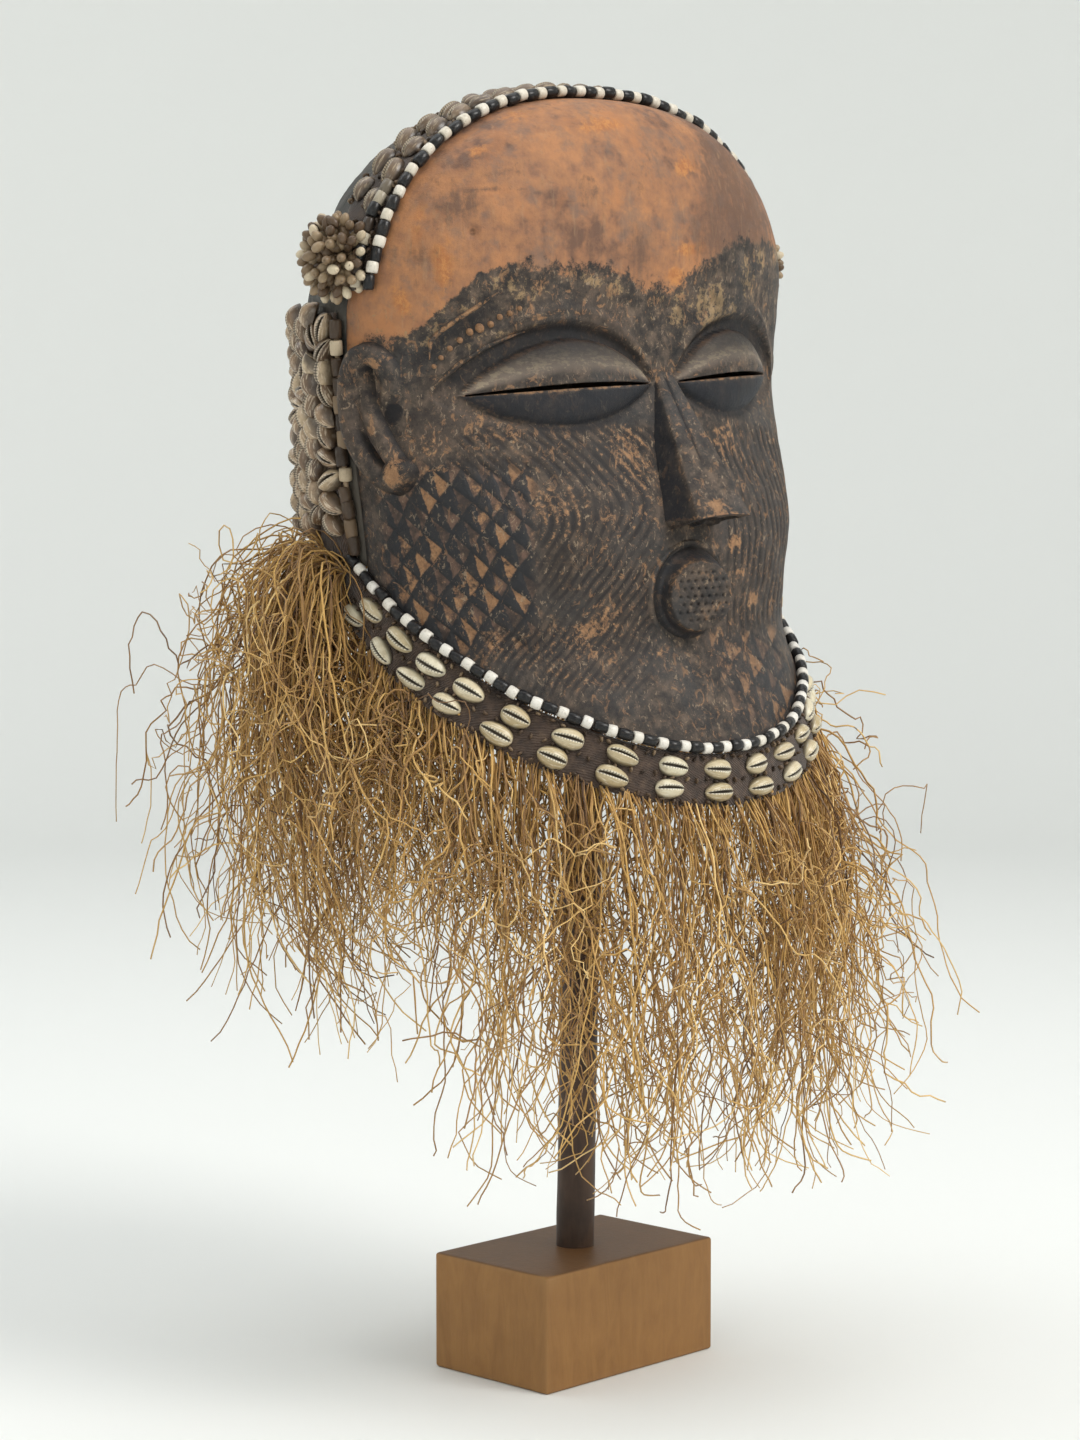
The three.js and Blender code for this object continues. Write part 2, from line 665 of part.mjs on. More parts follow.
const head = new THREE.Group();
head.position.z = -SEAT.height;
head.add(piece('wooden_mask', woodenMask(), 'wood'));
head.add(piece('hood', hood(), 'hide'));
head.add(piece('headband_cloth', headbandCloth(), 'cloth'));
head.add(piece('headband_shells', headbandShells(), 'shell'));
head.add(piece('headband_beads', archBeads(), 'beads'));
for (const [side, word] of [[-1, 'right'], [1, 'left']]) {
  head.add(piece(`rosette_${word}`, rosette(side), 'seeds'));
  head.add(piece(`side_panel_${word}`, panelCloth(side), 'cloth'));
  head.add(piece(`side_shells_${word}`, panelShells(side), 'shell'));
  head.add(piece(`side_beads_${word}`, panelBeads(side), 'beads'));
  const [near, far] = [-side * (NAPE.bunch + 0.6), -side * NAPE.span];
  head.add(piece(`raffia_bunch_${word}`, raffiaNape(near, far, 6), 'raffia'));
}
head.add(piece('jaw_band', jawBandCloth(), 'cloth'));
head.add(piece('jaw_shells_upper', jawShells(8.5, 17, 4), 'shell'));
head.add(piece('jaw_shells_lower', jawShells(19, 17, 1), 'shell'));
head.add(piece('jaw_beads', jawBeads(), 'beads'));
head.add(piece('raffia_beard', raffiaBeard(), 'raffia'));
head.add(piece('raffia_nape', raffiaNape(-NAPE.bunch, NAPE.bunch, 14), 'raffia'));

const seat = new THREE.Group();
seat.position.z = SEAT.height;
seat.rotation.set(0, rad(SEAT.roll), rad(SEAT.turn), 'ZYX');
seat.add(head);

const part = new THREE.Group();
part.add(piece('stand_block', block(), 'oak'));
part.add(piece('stand_rod', rod(0), 'rod'));
part.add(seat);

export default part;
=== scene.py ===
"""The looks of a beaded wooden mask on its stand, for Blender 4.5.

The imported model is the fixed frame, and each piece made here replaces nodes of it. The mask and
its trim are modelled upright and in millimetres, with x to the mask's left, y to its back and z
up, from the same named sizes as the part's source. seated() turns such points into metres in
the frame. The stand is in the frame's own place, in millimetres as well, and plain() turns it.
"""

import bpy
import numpy as np
from mathutils import Matrix


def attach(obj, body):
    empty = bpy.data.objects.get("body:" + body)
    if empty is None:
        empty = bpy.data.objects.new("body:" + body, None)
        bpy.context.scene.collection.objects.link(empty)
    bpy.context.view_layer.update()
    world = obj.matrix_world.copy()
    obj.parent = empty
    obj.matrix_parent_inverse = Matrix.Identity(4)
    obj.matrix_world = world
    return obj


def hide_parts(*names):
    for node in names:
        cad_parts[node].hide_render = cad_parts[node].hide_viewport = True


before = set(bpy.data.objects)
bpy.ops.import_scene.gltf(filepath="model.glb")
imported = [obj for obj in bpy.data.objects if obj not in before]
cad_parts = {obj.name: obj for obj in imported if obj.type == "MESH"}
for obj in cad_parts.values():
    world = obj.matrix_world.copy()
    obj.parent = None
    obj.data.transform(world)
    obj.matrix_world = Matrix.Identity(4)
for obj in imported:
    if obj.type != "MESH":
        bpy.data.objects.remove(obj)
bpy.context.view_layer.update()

MM = 0.001

# The stand
BLOCK = dict(wide=116, deep=74, tall=55, round=1.6, chip=(9, 7, 7), chip_deep=1.5, edge_worn=0.45)
ROD = dict(radius=9.1, lean=1.3, foot=26, top=582)

# How the mask sits on the rod: turned and rolled in degrees about a point at this height
SEAT = dict(turn=-2.7, roll=-2.2, height=400)

# Sections of the face by height: z, front, half width, squareness and where the rear edge lies
FACE = np.array([
    (255, -94, 106, 2.05, 25),
    (280, -97, 113, 2.05, 24),
    (300, -97, 119, 2.1, 22.5),
    (325, -86, 121, 2.25, 20),
    (350, -76.5, 117, 2.3, 19),
    (375, -77.5, 115.5, 2.4, 17),
    (400, -78, 118, 2.45, 15),
    (430, -68, 124, 2.3, 12.5),
    (460, -60.5, 126.5, 2.15, 12),
    (485, -59, 129.5, 2.1, 9.5),
    (500, -58.2, 130.3, 2.2, 8),
])
FRONT, HALF, SQUARE, REAR = 1, 2, 3, 4

# The dome above the last section, with the powers that draw each curve in towards the top
DOME = dict(foot=500, top=597.2, half=130.3, front=66.2, back=104, square=2.2, rear=8, rear_top=-13)
HALF_CURVE, FRONT_CURVE, BACK_CURVE = (2.08, 2.36), (1.62, 2.49), (4.78, 3.82)
NAPE_DEPTH = 89
WOOD_WALL, HOOD_WALL = 11, 4

# Half the width that has relief, how near its corners an eye stays shut, and how much painted shade
# darkens the inner wall
RELIEF_HALF, LID_JOIN, INNER_SHADE = 118, 0.012, 0.6

# The jaw line falls from its rear end towards the chin, and the arch carries the bead line. Each
# band has its cloth's thickness, how far shells and seeds stand off the wood, and the seeds' size.
JAW = dict(rear=23.5, rear_height=388, reach=121, drop=90, curve=0.9, band=25, span=87, tuck=8,
           cloth=2.3, shell_up=2.2, seed_up=2.6, seed=1.4, bead_pitch=5.9)
ARCH = dict(y=-4.5, z=504.4, lean=0.128, width=28, spread=88, shells=74,
            cloth=2.0, shell_up=2.3, seed_up=3.0, seed=1.75, bead_pitch=6.1)

# The features, measured from the root of the nose
ROOT = dict(x=0.8, z=465.2, tilt=-2.3)
EYES = [
    dict(side=-1, inner=-8, outer=-102, up=21, down=17.5, brow=30.5, brow_outer=-110),
    dict(side=1, inner=8, outer=88, up=21, down=17.5, brow=29.5, brow_outer=100),
]
LID = dict(bulge=7.5, arch=1.5, slit=1.15, hollow=4.5, margin=(2, 3), crest=1.3, rim=2.2, sunk=1.5,
           upper=0.8)
NOSE = dict(top=470, base=405, rise=8, root_y=-61, tip_y=-103, root_half=4.4, tip_half=13.5,
            root_foot=8, tip_foot=18.5, wall=0.44, turn=0.26, seat=7, sag=1.2)

# Under the nose, from its tip to the face: the nostrils' distance from the middle, half width,
# place and half length as shares of the way, and depth
NOSTRIL = dict(side=6.2, half=5.2, place=0.42, reach=0.26, deep=5)
MOUTH = dict(x=-4, z=369.5, base=21, disc=16.2, stand=12, tilt=6, turn=16, dot=0.7, dot_deep=1.1,
             dot_pitch=(3.7, 3.6), margin=2)
EAR = dict(y=-3.5, z=451, rim=4.8, fold=4.2, hole=(7.6, 3.5, 3.0), root=6, lowest=-4.5,
           forward=(-16, 19), up=(-38, 38))

# Trim
BEAD = 2.7
SHELL = dict(long=15.4, wide=9.9, tall=4.6)
ROSETTE = dict(y=5, z=524, bead=2.3, long=6.6, strands=58, patch=13, foot=4.2, crown=3.5, first=4.9,
               pitch=5.0)
PANEL = dict(top=497, bottom=393, string=3.2, start=6.8, stop=72, columns=5, pitch=12.4,
             rows=10, cloth=2.2, shell_up=3.0, bead=2.9, bead_pitch=7.6)
HOOD = dict(hem=386, gap=0.3, straight=0.42, rows=66, columns=96)

# The face's columns and the rows of its jaw part. The inner wall keeps one row of so many.
GRID = dict(columns=286, jaw_rows=76, inner_step=6)

# The power that spaces the rows of points over the dome
DOME_ROWS = 2 / 2.3

# The room that the raffia keeps to, in the mask's own place
RAFFIA_ROOM = ((-168, -140, 84), (186, 152, 450))

# Fibres: the steps along each, how far a lock moves as one and how far the ends part. The pairs say
# how much of a shake, a swing and a lock's drift lasts to the next step, and how much is new.
FIBRE = dict(steps=33, together=0.5, loose_end=0.9, shake=(0.78, 0.62), swing=(0.94, 0.14),
             drift=(0.9, 0.07), thick=(0.33, 0.6), room_edge=0.7)

# The lowest tips of the beard and of the nape's fibres, how they rise and wave from side to side,
# the locks' width in degrees, and the shortest fibre
BEARD = dict(tips=104, near_rise=22, side_rise=92, wave=8, lock=3.4, shortest=40)
NAPE = dict(tips=192, wave=9, lock=4, shortest=60)

# Angles from the middle of the back: where the bunches end, and where they begin beside the fringe
NAPE_SPAN = (84, 50)


# Small tools

def unit(vectors):
    length = np.linalg.norm(vectors, axis=-1, keepdims=True)
    return vectors / np.maximum(length, 1e-12)


def blend(low, high, share):
    return low + (high - low) * share


def packed(*parts):
    """Values side by side in a new last place, such as the x, y and z of points."""
    return np.stack(np.broadcast_arrays(*parts), -1)


def turned(a, b, degrees):
    cosine, sine = np.cos(np.radians(degrees)), np.sin(np.radians(degrees))
    return a * cosine - b * sine, a * sine + b * cosine


def smooth_step(value, low, high):
    t = np.clip((value - low) / (high - low), 0, 1)
    return t * t * (3 - 2 * t)


def window(value, start, full, last, stop):
    """One between full and last, falling to nothing at start and stop."""
    return smooth_step(value, start, full) * (1 - smooth_step(value, last, stop))


def bell(value, middle, width):
    return np.exp(-((value - middle) / width) ** 2)


def wobble(points, size, seed):
    """A smooth uneven value from about -1 to 1, whose lumps are about as large as size."""
    dice = np.random.default_rng(seed)
    total = 0
    for _ in range(5):
        wave = unit(dice.normal(size=3)) * 2 * np.pi / (size * dice.uniform(0.8, 2.2))
        total = total + np.sin(points @ wave + dice.uniform(0, 6.28))
    return total / 3


# The surface of the head

def along(z, column):
    """One column of FACE at any height, on a smooth curve through the rows."""
    knots, values = FACE[:, 0], FACE[:, column]
    slopes = np.zeros(len(knots))
    slopes[1:-1] = (values[2:] - values[:-2]) / (knots[2:] - knots[:-2])
    slopes[0] = (values[1] - values[0]) / (knots[1] - knots[0])
    z = np.clip(z, knots[0], knots[-1])
    i = np.clip(np.searchsorted(knots, z) - 1, 0, len(knots) - 2)
    step = knots[i + 1] - knots[i]
    t = (z - knots[i]) / step
    return (values[i] * (1 + 2 * t) * (1 - t) ** 2 + slopes[i] * step * t * (1 - t) ** 2
            + values[i + 1] * t * t * (3 - 2 * t) + slopes[i + 1] * step * t * t * (t - 1))


def section(z, inset=0.0):
    """Half width, depth in front of and behind the rear edge, squareness and rear edge."""
    z = np.asarray(z, float)
    u = np.clip((z - DOME["foot"]) / (DOME["top"] - inset - DOME["foot"]), 0, 1)
    rise = np.clip((z - DOME["foot"]) / (DOME["top"] - DOME["foot"]), 0, 1)
    on_dome = z >= DOME["foot"]

    def drawn_in(curve):
        return (1 - u ** curve[0]) ** (1 / curve[1])

    rear = np.where(on_dome, blend(DOME["rear"], DOME["rear_top"], rise), along(z, REAR))
    half = np.where(on_dome, (DOME["half"] - inset) * drawn_in(HALF_CURVE), along(z, HALF) - inset)
    front = np.where(on_dome, (DOME["front"] - inset) * drawn_in(FRONT_CURVE),
                     rear - along(z, FRONT) - inset)
    back = (blend(NAPE_DEPTH, DOME["back"], u) - inset) * drawn_in(BACK_CURVE)
    return half, front, back, np.where(on_dome, DOME["square"], along(z, SQUARE)), rear


def ring(z, degrees, inset=0.0):
    """Points of the surface at heights and angles: 0 is the front, 90 the side, 180 the back."""
    half, front, back, square, rear = section(z, inset)
    sine, cosine = np.sin(np.radians(degrees)), np.cos(np.radians(degrees))
    depth = np.where(cosine > 0, front, back)
    x = half * np.sign(sine) * np.abs(sine) ** (2 / square)
    y = rear - depth * np.sign(cosine) * np.abs(cosine) ** (2 / square)
    return packed(x, y, np.asarray(z, float))


def fill(points):
    """How deep a point is inside the head: under 1 is inside."""
    x, y, z = points[..., 0], points[..., 1], points[..., 2]
    half, front, back, square, rear = section(np.minimum(z, DOME["top"] - 1e-6))
    depth = np.maximum(np.where(y < rear, front, back), 1e-6)
    value = (np.abs(x / np.maximum(half, 1e-6)) ** square + np.abs((y - rear) / depth) ** square)
    return np.where(z >= DOME["top"], 2 + z - DOME["top"], value ** (1 / square))


def leave(origin, direction):
    """Where lines from the inside leave the head."""
    near, far = np.zeros(direction.shape[:-1]), np.full(direction.shape[:-1], 260.0)
    for _ in range(36):
        middle = (near + far) / 2
        inside = fill(origin + middle[..., None] * direction) < 1
        near, far = np.where(inside, middle, near), np.where(inside, far, middle)
    return origin + near[..., None] * direction


def outward(points, step=0.4):
    sides = [fill(points + step * axis) - fill(points - step * axis) for axis in np.eye(3)]
    return unit(np.stack(sides, -1))


def lifted(points, height):
    return points + np.asarray(height)[..., None] * outward(points)


def bowed(share, square):
    """How far a squared ellipse still reaches at a share of its other half width."""
    return (1 - np.clip(share, 0, 1) ** square) ** (1 / square)


def front_y(x, z):
    half, front, _, square, rear = section(z)
    return rear - front * bowed(np.abs(x) / half, square)


def jaw_height(y):
    share = np.clip((JAW["rear"] - y) / JAW["reach"], 0, 1.2)
    return JAW["rear_height"] - JAW["drop"] * share ** JAW["curve"]


def jaw_point(degrees, inset=0.0):
    z = np.full(np.shape(degrees), 300.0)
    for _ in range(40):
        z = blend(z, jaw_height(ring(z, degrees, inset)[..., 1]), 0.5)
    return ring(z, degrees, inset)


def band_point(degrees, down, height):
    """A point of the band under the jaw line: how far down it and how far off the wood."""
    start = jaw_point(degrees)
    normal = outward(start)
    fall = np.array([0, 0.63, -0.777])
    fall = unit(fall - (normal @ fall)[..., None] * normal)
    return start + np.asarray(down)[..., None] * fall + np.asarray(height)[..., None] * normal


def arch_point(degrees, behind):
    """A point of the head under the headband: angle from the crown, distance behind the beads."""
    angle = np.radians(degrees)
    sine, cosine = np.broadcast_arrays(np.sin(angle), np.cos(angle))
    direction = packed(sine, -ARCH["lean"] * cosine, cosine)
    y = ARCH["y"] + np.broadcast_to(behind, sine.shape)
    origin = packed(np.zeros(sine.shape), y, np.full(sine.shape, float(ARCH["z"])))
    return leave(origin, direction)


def panel_point(side, z, arc, height):
    half = section(z)[0]
    points = ring(z, 90 + np.degrees(arc / half))
    return lifted(points * [side, 1, 1], height)


def seated(points):
    """Points of the upright mask, as they stand on the rod, in metres."""
    x, y, z = points[..., 0], points[..., 1], points[..., 2] - SEAT["height"]
    z, x = turned(z, x, SEAT["roll"])
    x, y = turned(x, y, SEAT["turn"])
    return packed(x, y, z + SEAT["height"]) * MM


def plain(points):
    return points * MM


# Meshes

def quads(ids):
    return packed(ids[:-1, :-1], ids[:-1, 1:], ids[1:, 1:], ids[1:, :-1]).reshape(-1, 4)


def wall_between(a, b):
    """The quads between two lines of points."""
    return packed(a[:-1], a[1:], b[1:], b[:-1])


def border_of(ids):
    return np.concatenate([ids[0, :-1], ids[:-1, -1], ids[-1, :0:-1], ids[:0:-1, 0]])


def closed(ids):
    """A grid of points whose last column is its first."""
    return np.concatenate([ids, ids[:, :1]], 1)


def numbered(grid, start=0):
    """The numbers of a grid's points."""
    return start + np.arange(grid.shape[0] * grid.shape[1]).reshape(grid.shape[:2])


def pooled(*grids):
    """The points of several grids in one list."""
    return np.concatenate([grid.reshape(-1, 3) for grid in grids])


def full_turn(count):
    return np.linspace(0, 2 * np.pi, count, endpoint=False)


def volume(points, faces):
    total = 0.0
    for part in faces:
        for k in range(1, part.shape[1] - 1):
            a, b, c = points[part[:, 0]], points[part[:, k]], points[part[:, k + 1]]
            total += np.einsum("ij,ij->i", a, np.cross(b, c)).sum() / 6
    return total


class Shape:
    """The points, faces and named point values of one piece, gathered body by body."""

    def __init__(self, **channels):
        self.widths = channels
        self.values = {name: [] for name in channels}
        self.points, self.faces, self.size = [], [], 0

    def add(self, points, faces, **values):
        points = np.asarray(points, float).reshape(-1, 3)
        centred = points - points.mean(0)
        inside_out = volume(centred, faces) < 0
        for part in faces:
            self.faces.append((part[:, ::-1] if inside_out else part) + self.size)
        self.points.append(points)
        for name, width in self.widths.items():
            value = np.asarray(values.get(name, 0.0), float)
            value = value.reshape(-1, width) if value.ndim else value
            self.values[name].append(np.broadcast_to(value, (len(points), width)))
        self.size += len(points)

    def add_copies(self, template, places, axes, shared=None, **values):
        """Copies of a template: axes holds the scaled directions of its x, y and z."""
        points, faces = template
        copies = places[:, None] + np.einsum("pk,nkj->npj", points, axes)
        offsets = np.arange(len(places)) * len(points)
        many = [(part[None] + offsets[:, None, None]).reshape(-1, part.shape[1]) for part in faces]
        each = {}
        for name, value in values.items():
            value = np.asarray(value, float).reshape(len(places), 1, -1)
            each[name] = np.broadcast_to(value, (len(places), len(points), value.shape[2]))
        for name, value in (shared or {}).items():
            each[name] = np.broadcast_to(value, (len(places), *value.shape))
        self.add(copies, many, **each)


def linked(name, data):
    piece = bpy.data.objects.new(name, data)
    bpy.context.scene.collection.objects.link(piece)
    return piece


def object_of(name, shape, material, node, place=seated, crisp=None):
    """Makes the Blender object of a shape, which rides on the root and replaces a node."""
    points = place(np.concatenate(shape.points))
    loops, starts, count = [], [], 0
    for part in shape.faces:
        doubled = part == np.roll(part, -1, axis=1)
        kinds = [part[~doubled.any(1)]]
        if part.shape[1] == 4:
            pinched = part[doubled.sum(1) == 1]
            kinds.append(pinched[pinched != np.roll(pinched, -1, axis=1)].reshape(-1, 3))
        for kept in kinds:
            loops.append(kept.ravel())
            starts.append(count + np.arange(len(kept)) * kept.shape[1])
            count += kept.size
    corner, start = np.concatenate(loops), np.concatenate(starts)
    mesh = bpy.data.meshes.new(name)
    mesh.vertices.add(len(points))
    mesh.vertices.foreach_set("co", points.ravel())
    mesh.loops.add(len(corner))
    mesh.loops.foreach_set("vertex_index", corner.astype(np.int32))
    mesh.polygons.add(len(start))
    mesh.polygons.foreach_set("loop_start", start.astype(np.int32))
    mesh.polygons.foreach_set("use_smooth", np.ones(len(start), bool))
    for channel, width in shape.widths.items():
        kind, field = ("FLOAT", "value") if width == 1 else ("FLOAT_VECTOR", "vector")
        attribute = mesh.attributes.new(channel, kind, "POINT")
        attribute.data.foreach_set(field, np.concatenate(shape.values[channel]).ravel())
    mesh.update(calc_edges=True)
    if crisp is not None:
        mesh.set_sharp_from_angle(angle=np.radians(crisp))
    mesh.materials.append(material)
    piece = linked(name, mesh)
    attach(piece, "root")
    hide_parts(node)
    return piece


def slab(upper, lower):
    """The closed body between two grids of points."""
    ids = numbered(upper)
    border = border_of(ids)
    other = border + ids.size
    side = packed(border, other, np.roll(other, -1), np.roll(border, -1))
    faces = [quads(ids), quads(ids + ids.size)[:, ::-1], side]
    return pooled(upper, lower), faces


def tubes(paths, radius, sides=3, seed=1):
    """Closed tubes along many paths of one length; radius is one value or one for each point."""
    count, steps = paths.shape[:2]
    tangent = unit(np.gradient(paths, axis=1))
    reference = unit(np.random.default_rng(seed).normal(size=(count, 1, 3)))
    first = unit(np.cross(tangent, reference))
    second = np.cross(tangent, first)
    turn = np.arange(sides) * 2 * np.pi / sides
    radius = np.broadcast_to(radius, (count, steps))[..., None, None]
    points = (paths[:, :, None] + radius * (first[:, :, None] * np.cos(turn)[:, None]
                                            + second[:, :, None] * np.sin(turn)[:, None]))
    ids = np.arange(count * steps * sides).reshape(count, steps, sides)
    following = np.roll(ids, -1, axis=2)
    wall = packed(ids[:, :-1], following[:, :-1], following[:, 1:], ids[:, 1:])
    ends = [ids[:, 0, ::-1], ids[:, -1]]
    return points, [wall.reshape(-1, 4), *ends]


def frames_on(direction, up):
    """Right-angled axes with x along the direction and z near up."""
    x = unit(direction - (direction * up).sum(-1, keepdims=True) * up)
    return np.stack([x, np.cross(up, x), up], 1)


# The carved wooden face

def to_feature(x, z):
    """A place on the front in the features' own across and up, from the root of the nose."""
    tilt = np.radians(ROOT["tilt"])
    cosine, sine = np.cos(tilt), np.sin(tilt)
    dx, dz = x - ROOT["x"], z - ROOT["z"]
    scale = cosine * cosine - sine * sine
    return (cosine * dx + sine * dz) / scale, (sine * dx + cosine * dz) / scale


def from_feature(across, up):
    tilt = np.radians(ROOT["tilt"])
    x = ROOT["x"] + across * np.cos(tilt) - up * np.sin(tilt)
    return x, ROOT["z"] - across * np.sin(tilt) + up * np.cos(tilt)


def eye_place(eye, across, up, outer, grow=0.0):
    """How open the eye is at a place along it, and the place's height over the slit."""
    start = eye["inner"] - eye["side"] * grow
    stop = outer + eye["side"] * grow
    share = (across - start) / (stop - start)
    bow = np.where((share > 0) & (share < 1), 4 * share * (1 - share), 0)
    return bow, up - LID["arch"] * bow


def face_relief(x, z):
    """How far the carving stands out of the bare face, with its worn edges and the painted shade of its
    hollows as values.
    """
    across, up = to_feature(x, z)
    relief, hollow, edge, pale, lower_lid = np.zeros((5, *x.shape))
    for eye in EYES:
        bow, height = eye_place(eye, across, up, eye["brow_outer"], LID["margin"][0])
        foot = eye["down"] + LID["margin"][1]
        v = (height / np.maximum(bow, 1e-3) ** 0.7 + foot) / (eye["brow"] + foot)
        inside = (bow > 0) & (v > 0) & (v < 1)
        deep = LID["hollow"] * (0.45 + 0.55 * np.clip(v, 0, 1)) * bow ** 0.3
        deep = deep * smooth_step(v, 0, 0.14) * (1 - smooth_step(v, 0.87, 1.0) ** 1.5)
        relief = np.where(inside, -deep, relief)
        # Painted shade in the upper part of the socket, under the brow
        shade = window(v, 0.45, 0.75, 0.9, 1.02) * bow ** 0.5
        hollow = np.maximum(hollow, np.where(inside, shade, 0))
        relief = relief + LID["crest"] * bell(v, 1.08, 0.06) * np.where(bow > 0, bow ** 0.4, 0)
        bow, height = eye_place(eye, across, up, eye["outer"])
        for sign, limit in ((1, eye["up"]), (-1, eye["down"])):
            upper = sign > 0
            v = sign * height / (limit * np.maximum(bow, 1e-3) ** 0.85)
            on = (bow > 0) & (v >= 0) & (v < 1)
            rim = 1 - smooth_step(height * sign, 0.0, LID["rim"])
            dome = (1 - np.clip(v, 0, 1) ** 2.4) ** 0.62
            lid = LID["bulge"] * dome * bow ** 0.55 - LID["sunk"] + (LID["upper"] * bow if upper else 0)
            relief = np.where(on, np.maximum(relief, lid - 1.0 * rim ** 2 * bow), relief)
            # Painted shade in the crease just outside each lid
            hollow = np.maximum(hollow, np.where((bow > 0), bell(v, 1.10, 0.10), 0) * 0.85)
            if upper:
                bright = np.maximum(0.85 * window(v, 0.84, 0.93, 0.99, 1.03), 0.3 * rim)
                # The upper lid is painted pale: dust, and painted light from above
                pale = np.maximum(pale, np.where(on, window(v, 0.2, 0.5, 0.85, 1.0), 0))
            else:
                scuffed = window(v, -0.02, 0.02, 0.10, 0.2)
                bright = np.maximum(0.75 * rim, 0.7 * scuffed)
                # The lower lid takes blue-black paint and painted shade, but for its scuffed edge by the
                # slit
                lower_lid = np.maximum(lower_lid, np.where(on, 1 - 0.8 * scuffed, 0))
            edge = np.maximum(edge, np.where(on, bright, 0))
    return relief, hollow, edge, pale, lower_lid


# The carved patterns and stains are laid out on a flat sheet that stands against the near cheek:
# s runs along it towards the nose, and z up
NEAR_SHEET = np.array([0.70, -0.715, 0])
CHECK = dict(s=-47, z=429, first=(8.8, -7.8), second=(-4.8, -6.9))
CHEVRON = dict(s=33, z=411, over=(0.643, 0.766), under=(0.766, -0.643), round=9, pitch=3.7)
FAR_PITCH = 5.6

# Where each pattern starts, is full, is full last and stops: across, then in height. The far cheek
# and the chin are measured by x, the others by s.
AREAS = dict(
    checks=((-88, -80, -20, -12), (345, 351, 427, 436)),
    near_lines=((-20, -8, 33, 42), (316, 340, 440, 449)),
    high_lines=((-52, -44, 36, 44), (424, 430, 441, 449)),
    low_lines=((-56, -24, 24, 36), (322, 334, 352, 366)),
    far_lines=((19, 24, 112, 120), (346, 358, 441, 447)),
    chin_checks=((6, 12, 62, 76), (304, 310, 346, 352)),
)

# The lower edge of the ochre paint on the forehead, as places x, z
OCHRE_EDGE = np.array([(-140, 478), (-121, 488), (-106, 503), (-95, 513), (-80, 517), (-60, 519),
                       (-37, 518), (-19, 513), (-8, 508), (10, 510), (24, 520), (60, 530), (130, 536)])
BROW_LINE = np.array([(-68, 477.5), (-65.8, 479.7), (-54.8, 489.7), (-41.9, 497.9), (-28.6, 506.5)])
BROW_DOTS = np.array([(-58, 474.5), (-54.8, 478.2), (-50.8, 482.2), (-46.3, 485.7), (-41.9, 489.2),
                      (-37.5, 490.8), (-32.6, 492.4), (-28.6, 495.5), (-24.2, 497.1), (-19.8, 499.2)])
BROW_RIDGE = np.array([(-58, 466), (-54.8, 469), (-46, 476), (-36.1, 482), (-26, 486.2), (-16, 489)])

# A small pit in the ochre: x, z, its width and depth, and where its painted shade starts and is full
PIT = dict(x=-97, z=533, wide=2.2, deep=2.0, dark=(2.3, 1.4))

# A crack in the ochre, as places x, z
CRACK = np.array([(-104, 551), (-76, 552.5), (-57, 547), (-35, 543)])
CRACK_HALF, CRACK_ENDS = 0.8, (-106, -96, -50, -34)

# How soft the ochre's lower edge is, and how soft it is along the near brow, where it is firmer
OCHRE_SOFT, BROW_SOFT, BROW_ENDS = 26, 11, (-72, -66, -30, -20)

# Stains, painted shade and worn places: s, z, half width, half height, lean in degrees and strength
ORANGE = [(-53, 518, 5, 12, 8, 1.0), (-71, 503, 5, 9, 15, 0.8), (-37, 569, 7, 4, 30, 0.7),
          (17, 582, 13, 4, 5, 0.8), (55, 564, 5, 6, 0, 0.9), (57, 526, 10, 3, 8, 0.9),
          (50, 514, 6, 6, 0, 0.8), (-63, 536, 6, 18, -12, 0.5), (-20, 586, 14, 5, 14, 0.55)]
# In the next rows the first, at the forehead's near edge, and the third, along its top, are painted shade;
# the others are stains
STAINS_AND_SHADE = [(-98, 550, 24, 42, 0, 0.9), (-61, 522, 10, 14, 0, 0.5), (-30, 594, 34, 8, 0, 0.6),
           (-46, 545, 12, 9, 10, 0.9), (11, 550, 7, 6, 0, 0.45), (34, 523, 6, 12, 0, 0.9),
           (12, 525, 3, 9, 0, 0.7), (-22, 560, 16, 6, 20, 0.45), (36, 560, 12, 16, 0, 0.4),
           (-60, 552, 9, 7, 30, 0.5), (2, 534, 10, 4, 0, 0.35)]
RUBBED = [(-35, 447, 15, 8, -35, 0.55), (27, 434, 9, 20, 30, 0.6), (-5, 413, 17, 10, 0, 0.6),
          (-37, 349, 12, 6, 40, 0.6), (9, 357, 14, 6, 25, 0.75), (74, 391, 4, 4, 45, 1.0),
          (77, 377, 4, 3, 0, 0.8), (83, 364, 4, 4, 45, 1.0), (40, 344, 9, 3, 20, 0.5),
          (-12, 510, 2.4, 2.8, 0, 1.0), (-15, 500, 1.4, 7, 10, 0.9), (-11, 495, 5, 1.3, 0, 0.9),
          (-62, 440, 5, 9, -20, 0.6), (70, 438, 8, 12, 0, 0.6), (-10, 338, 18, 4, -10, 0.35)]
FLECKED = [(12, 511, 9, 5, 0, 0.9), (-14, 505, 2.5, 9, 0, 0.9), (-44, 500, 8, 4, 35, 0.8),
           (66, 500, 16, 16, 0, 1.0), (50, 496, 8, 12, 0, 0.8), (84, 512, 6, 16, 0, 0.9)]


def patches(points, rows, seed):
    """The strongest of some uneven patches, laid out on the near sheet."""
    s, z = points @ NEAR_SHEET, points[..., 2]
    uneven = 1 + 0.35 * wobble(points, 9, seed) + 0.15 * wobble(points, 4, seed + 1)
    total = np.zeros(s.shape)
    for at_s, at_z, wide, tall, lean, strength in rows:
        b, a = turned(z - at_z, s - at_s, lean)
        away = (a / wide) ** 2 + (b / tall) ** 2
        total = np.maximum(total, strength * np.exp(-away * uneven))
    return total


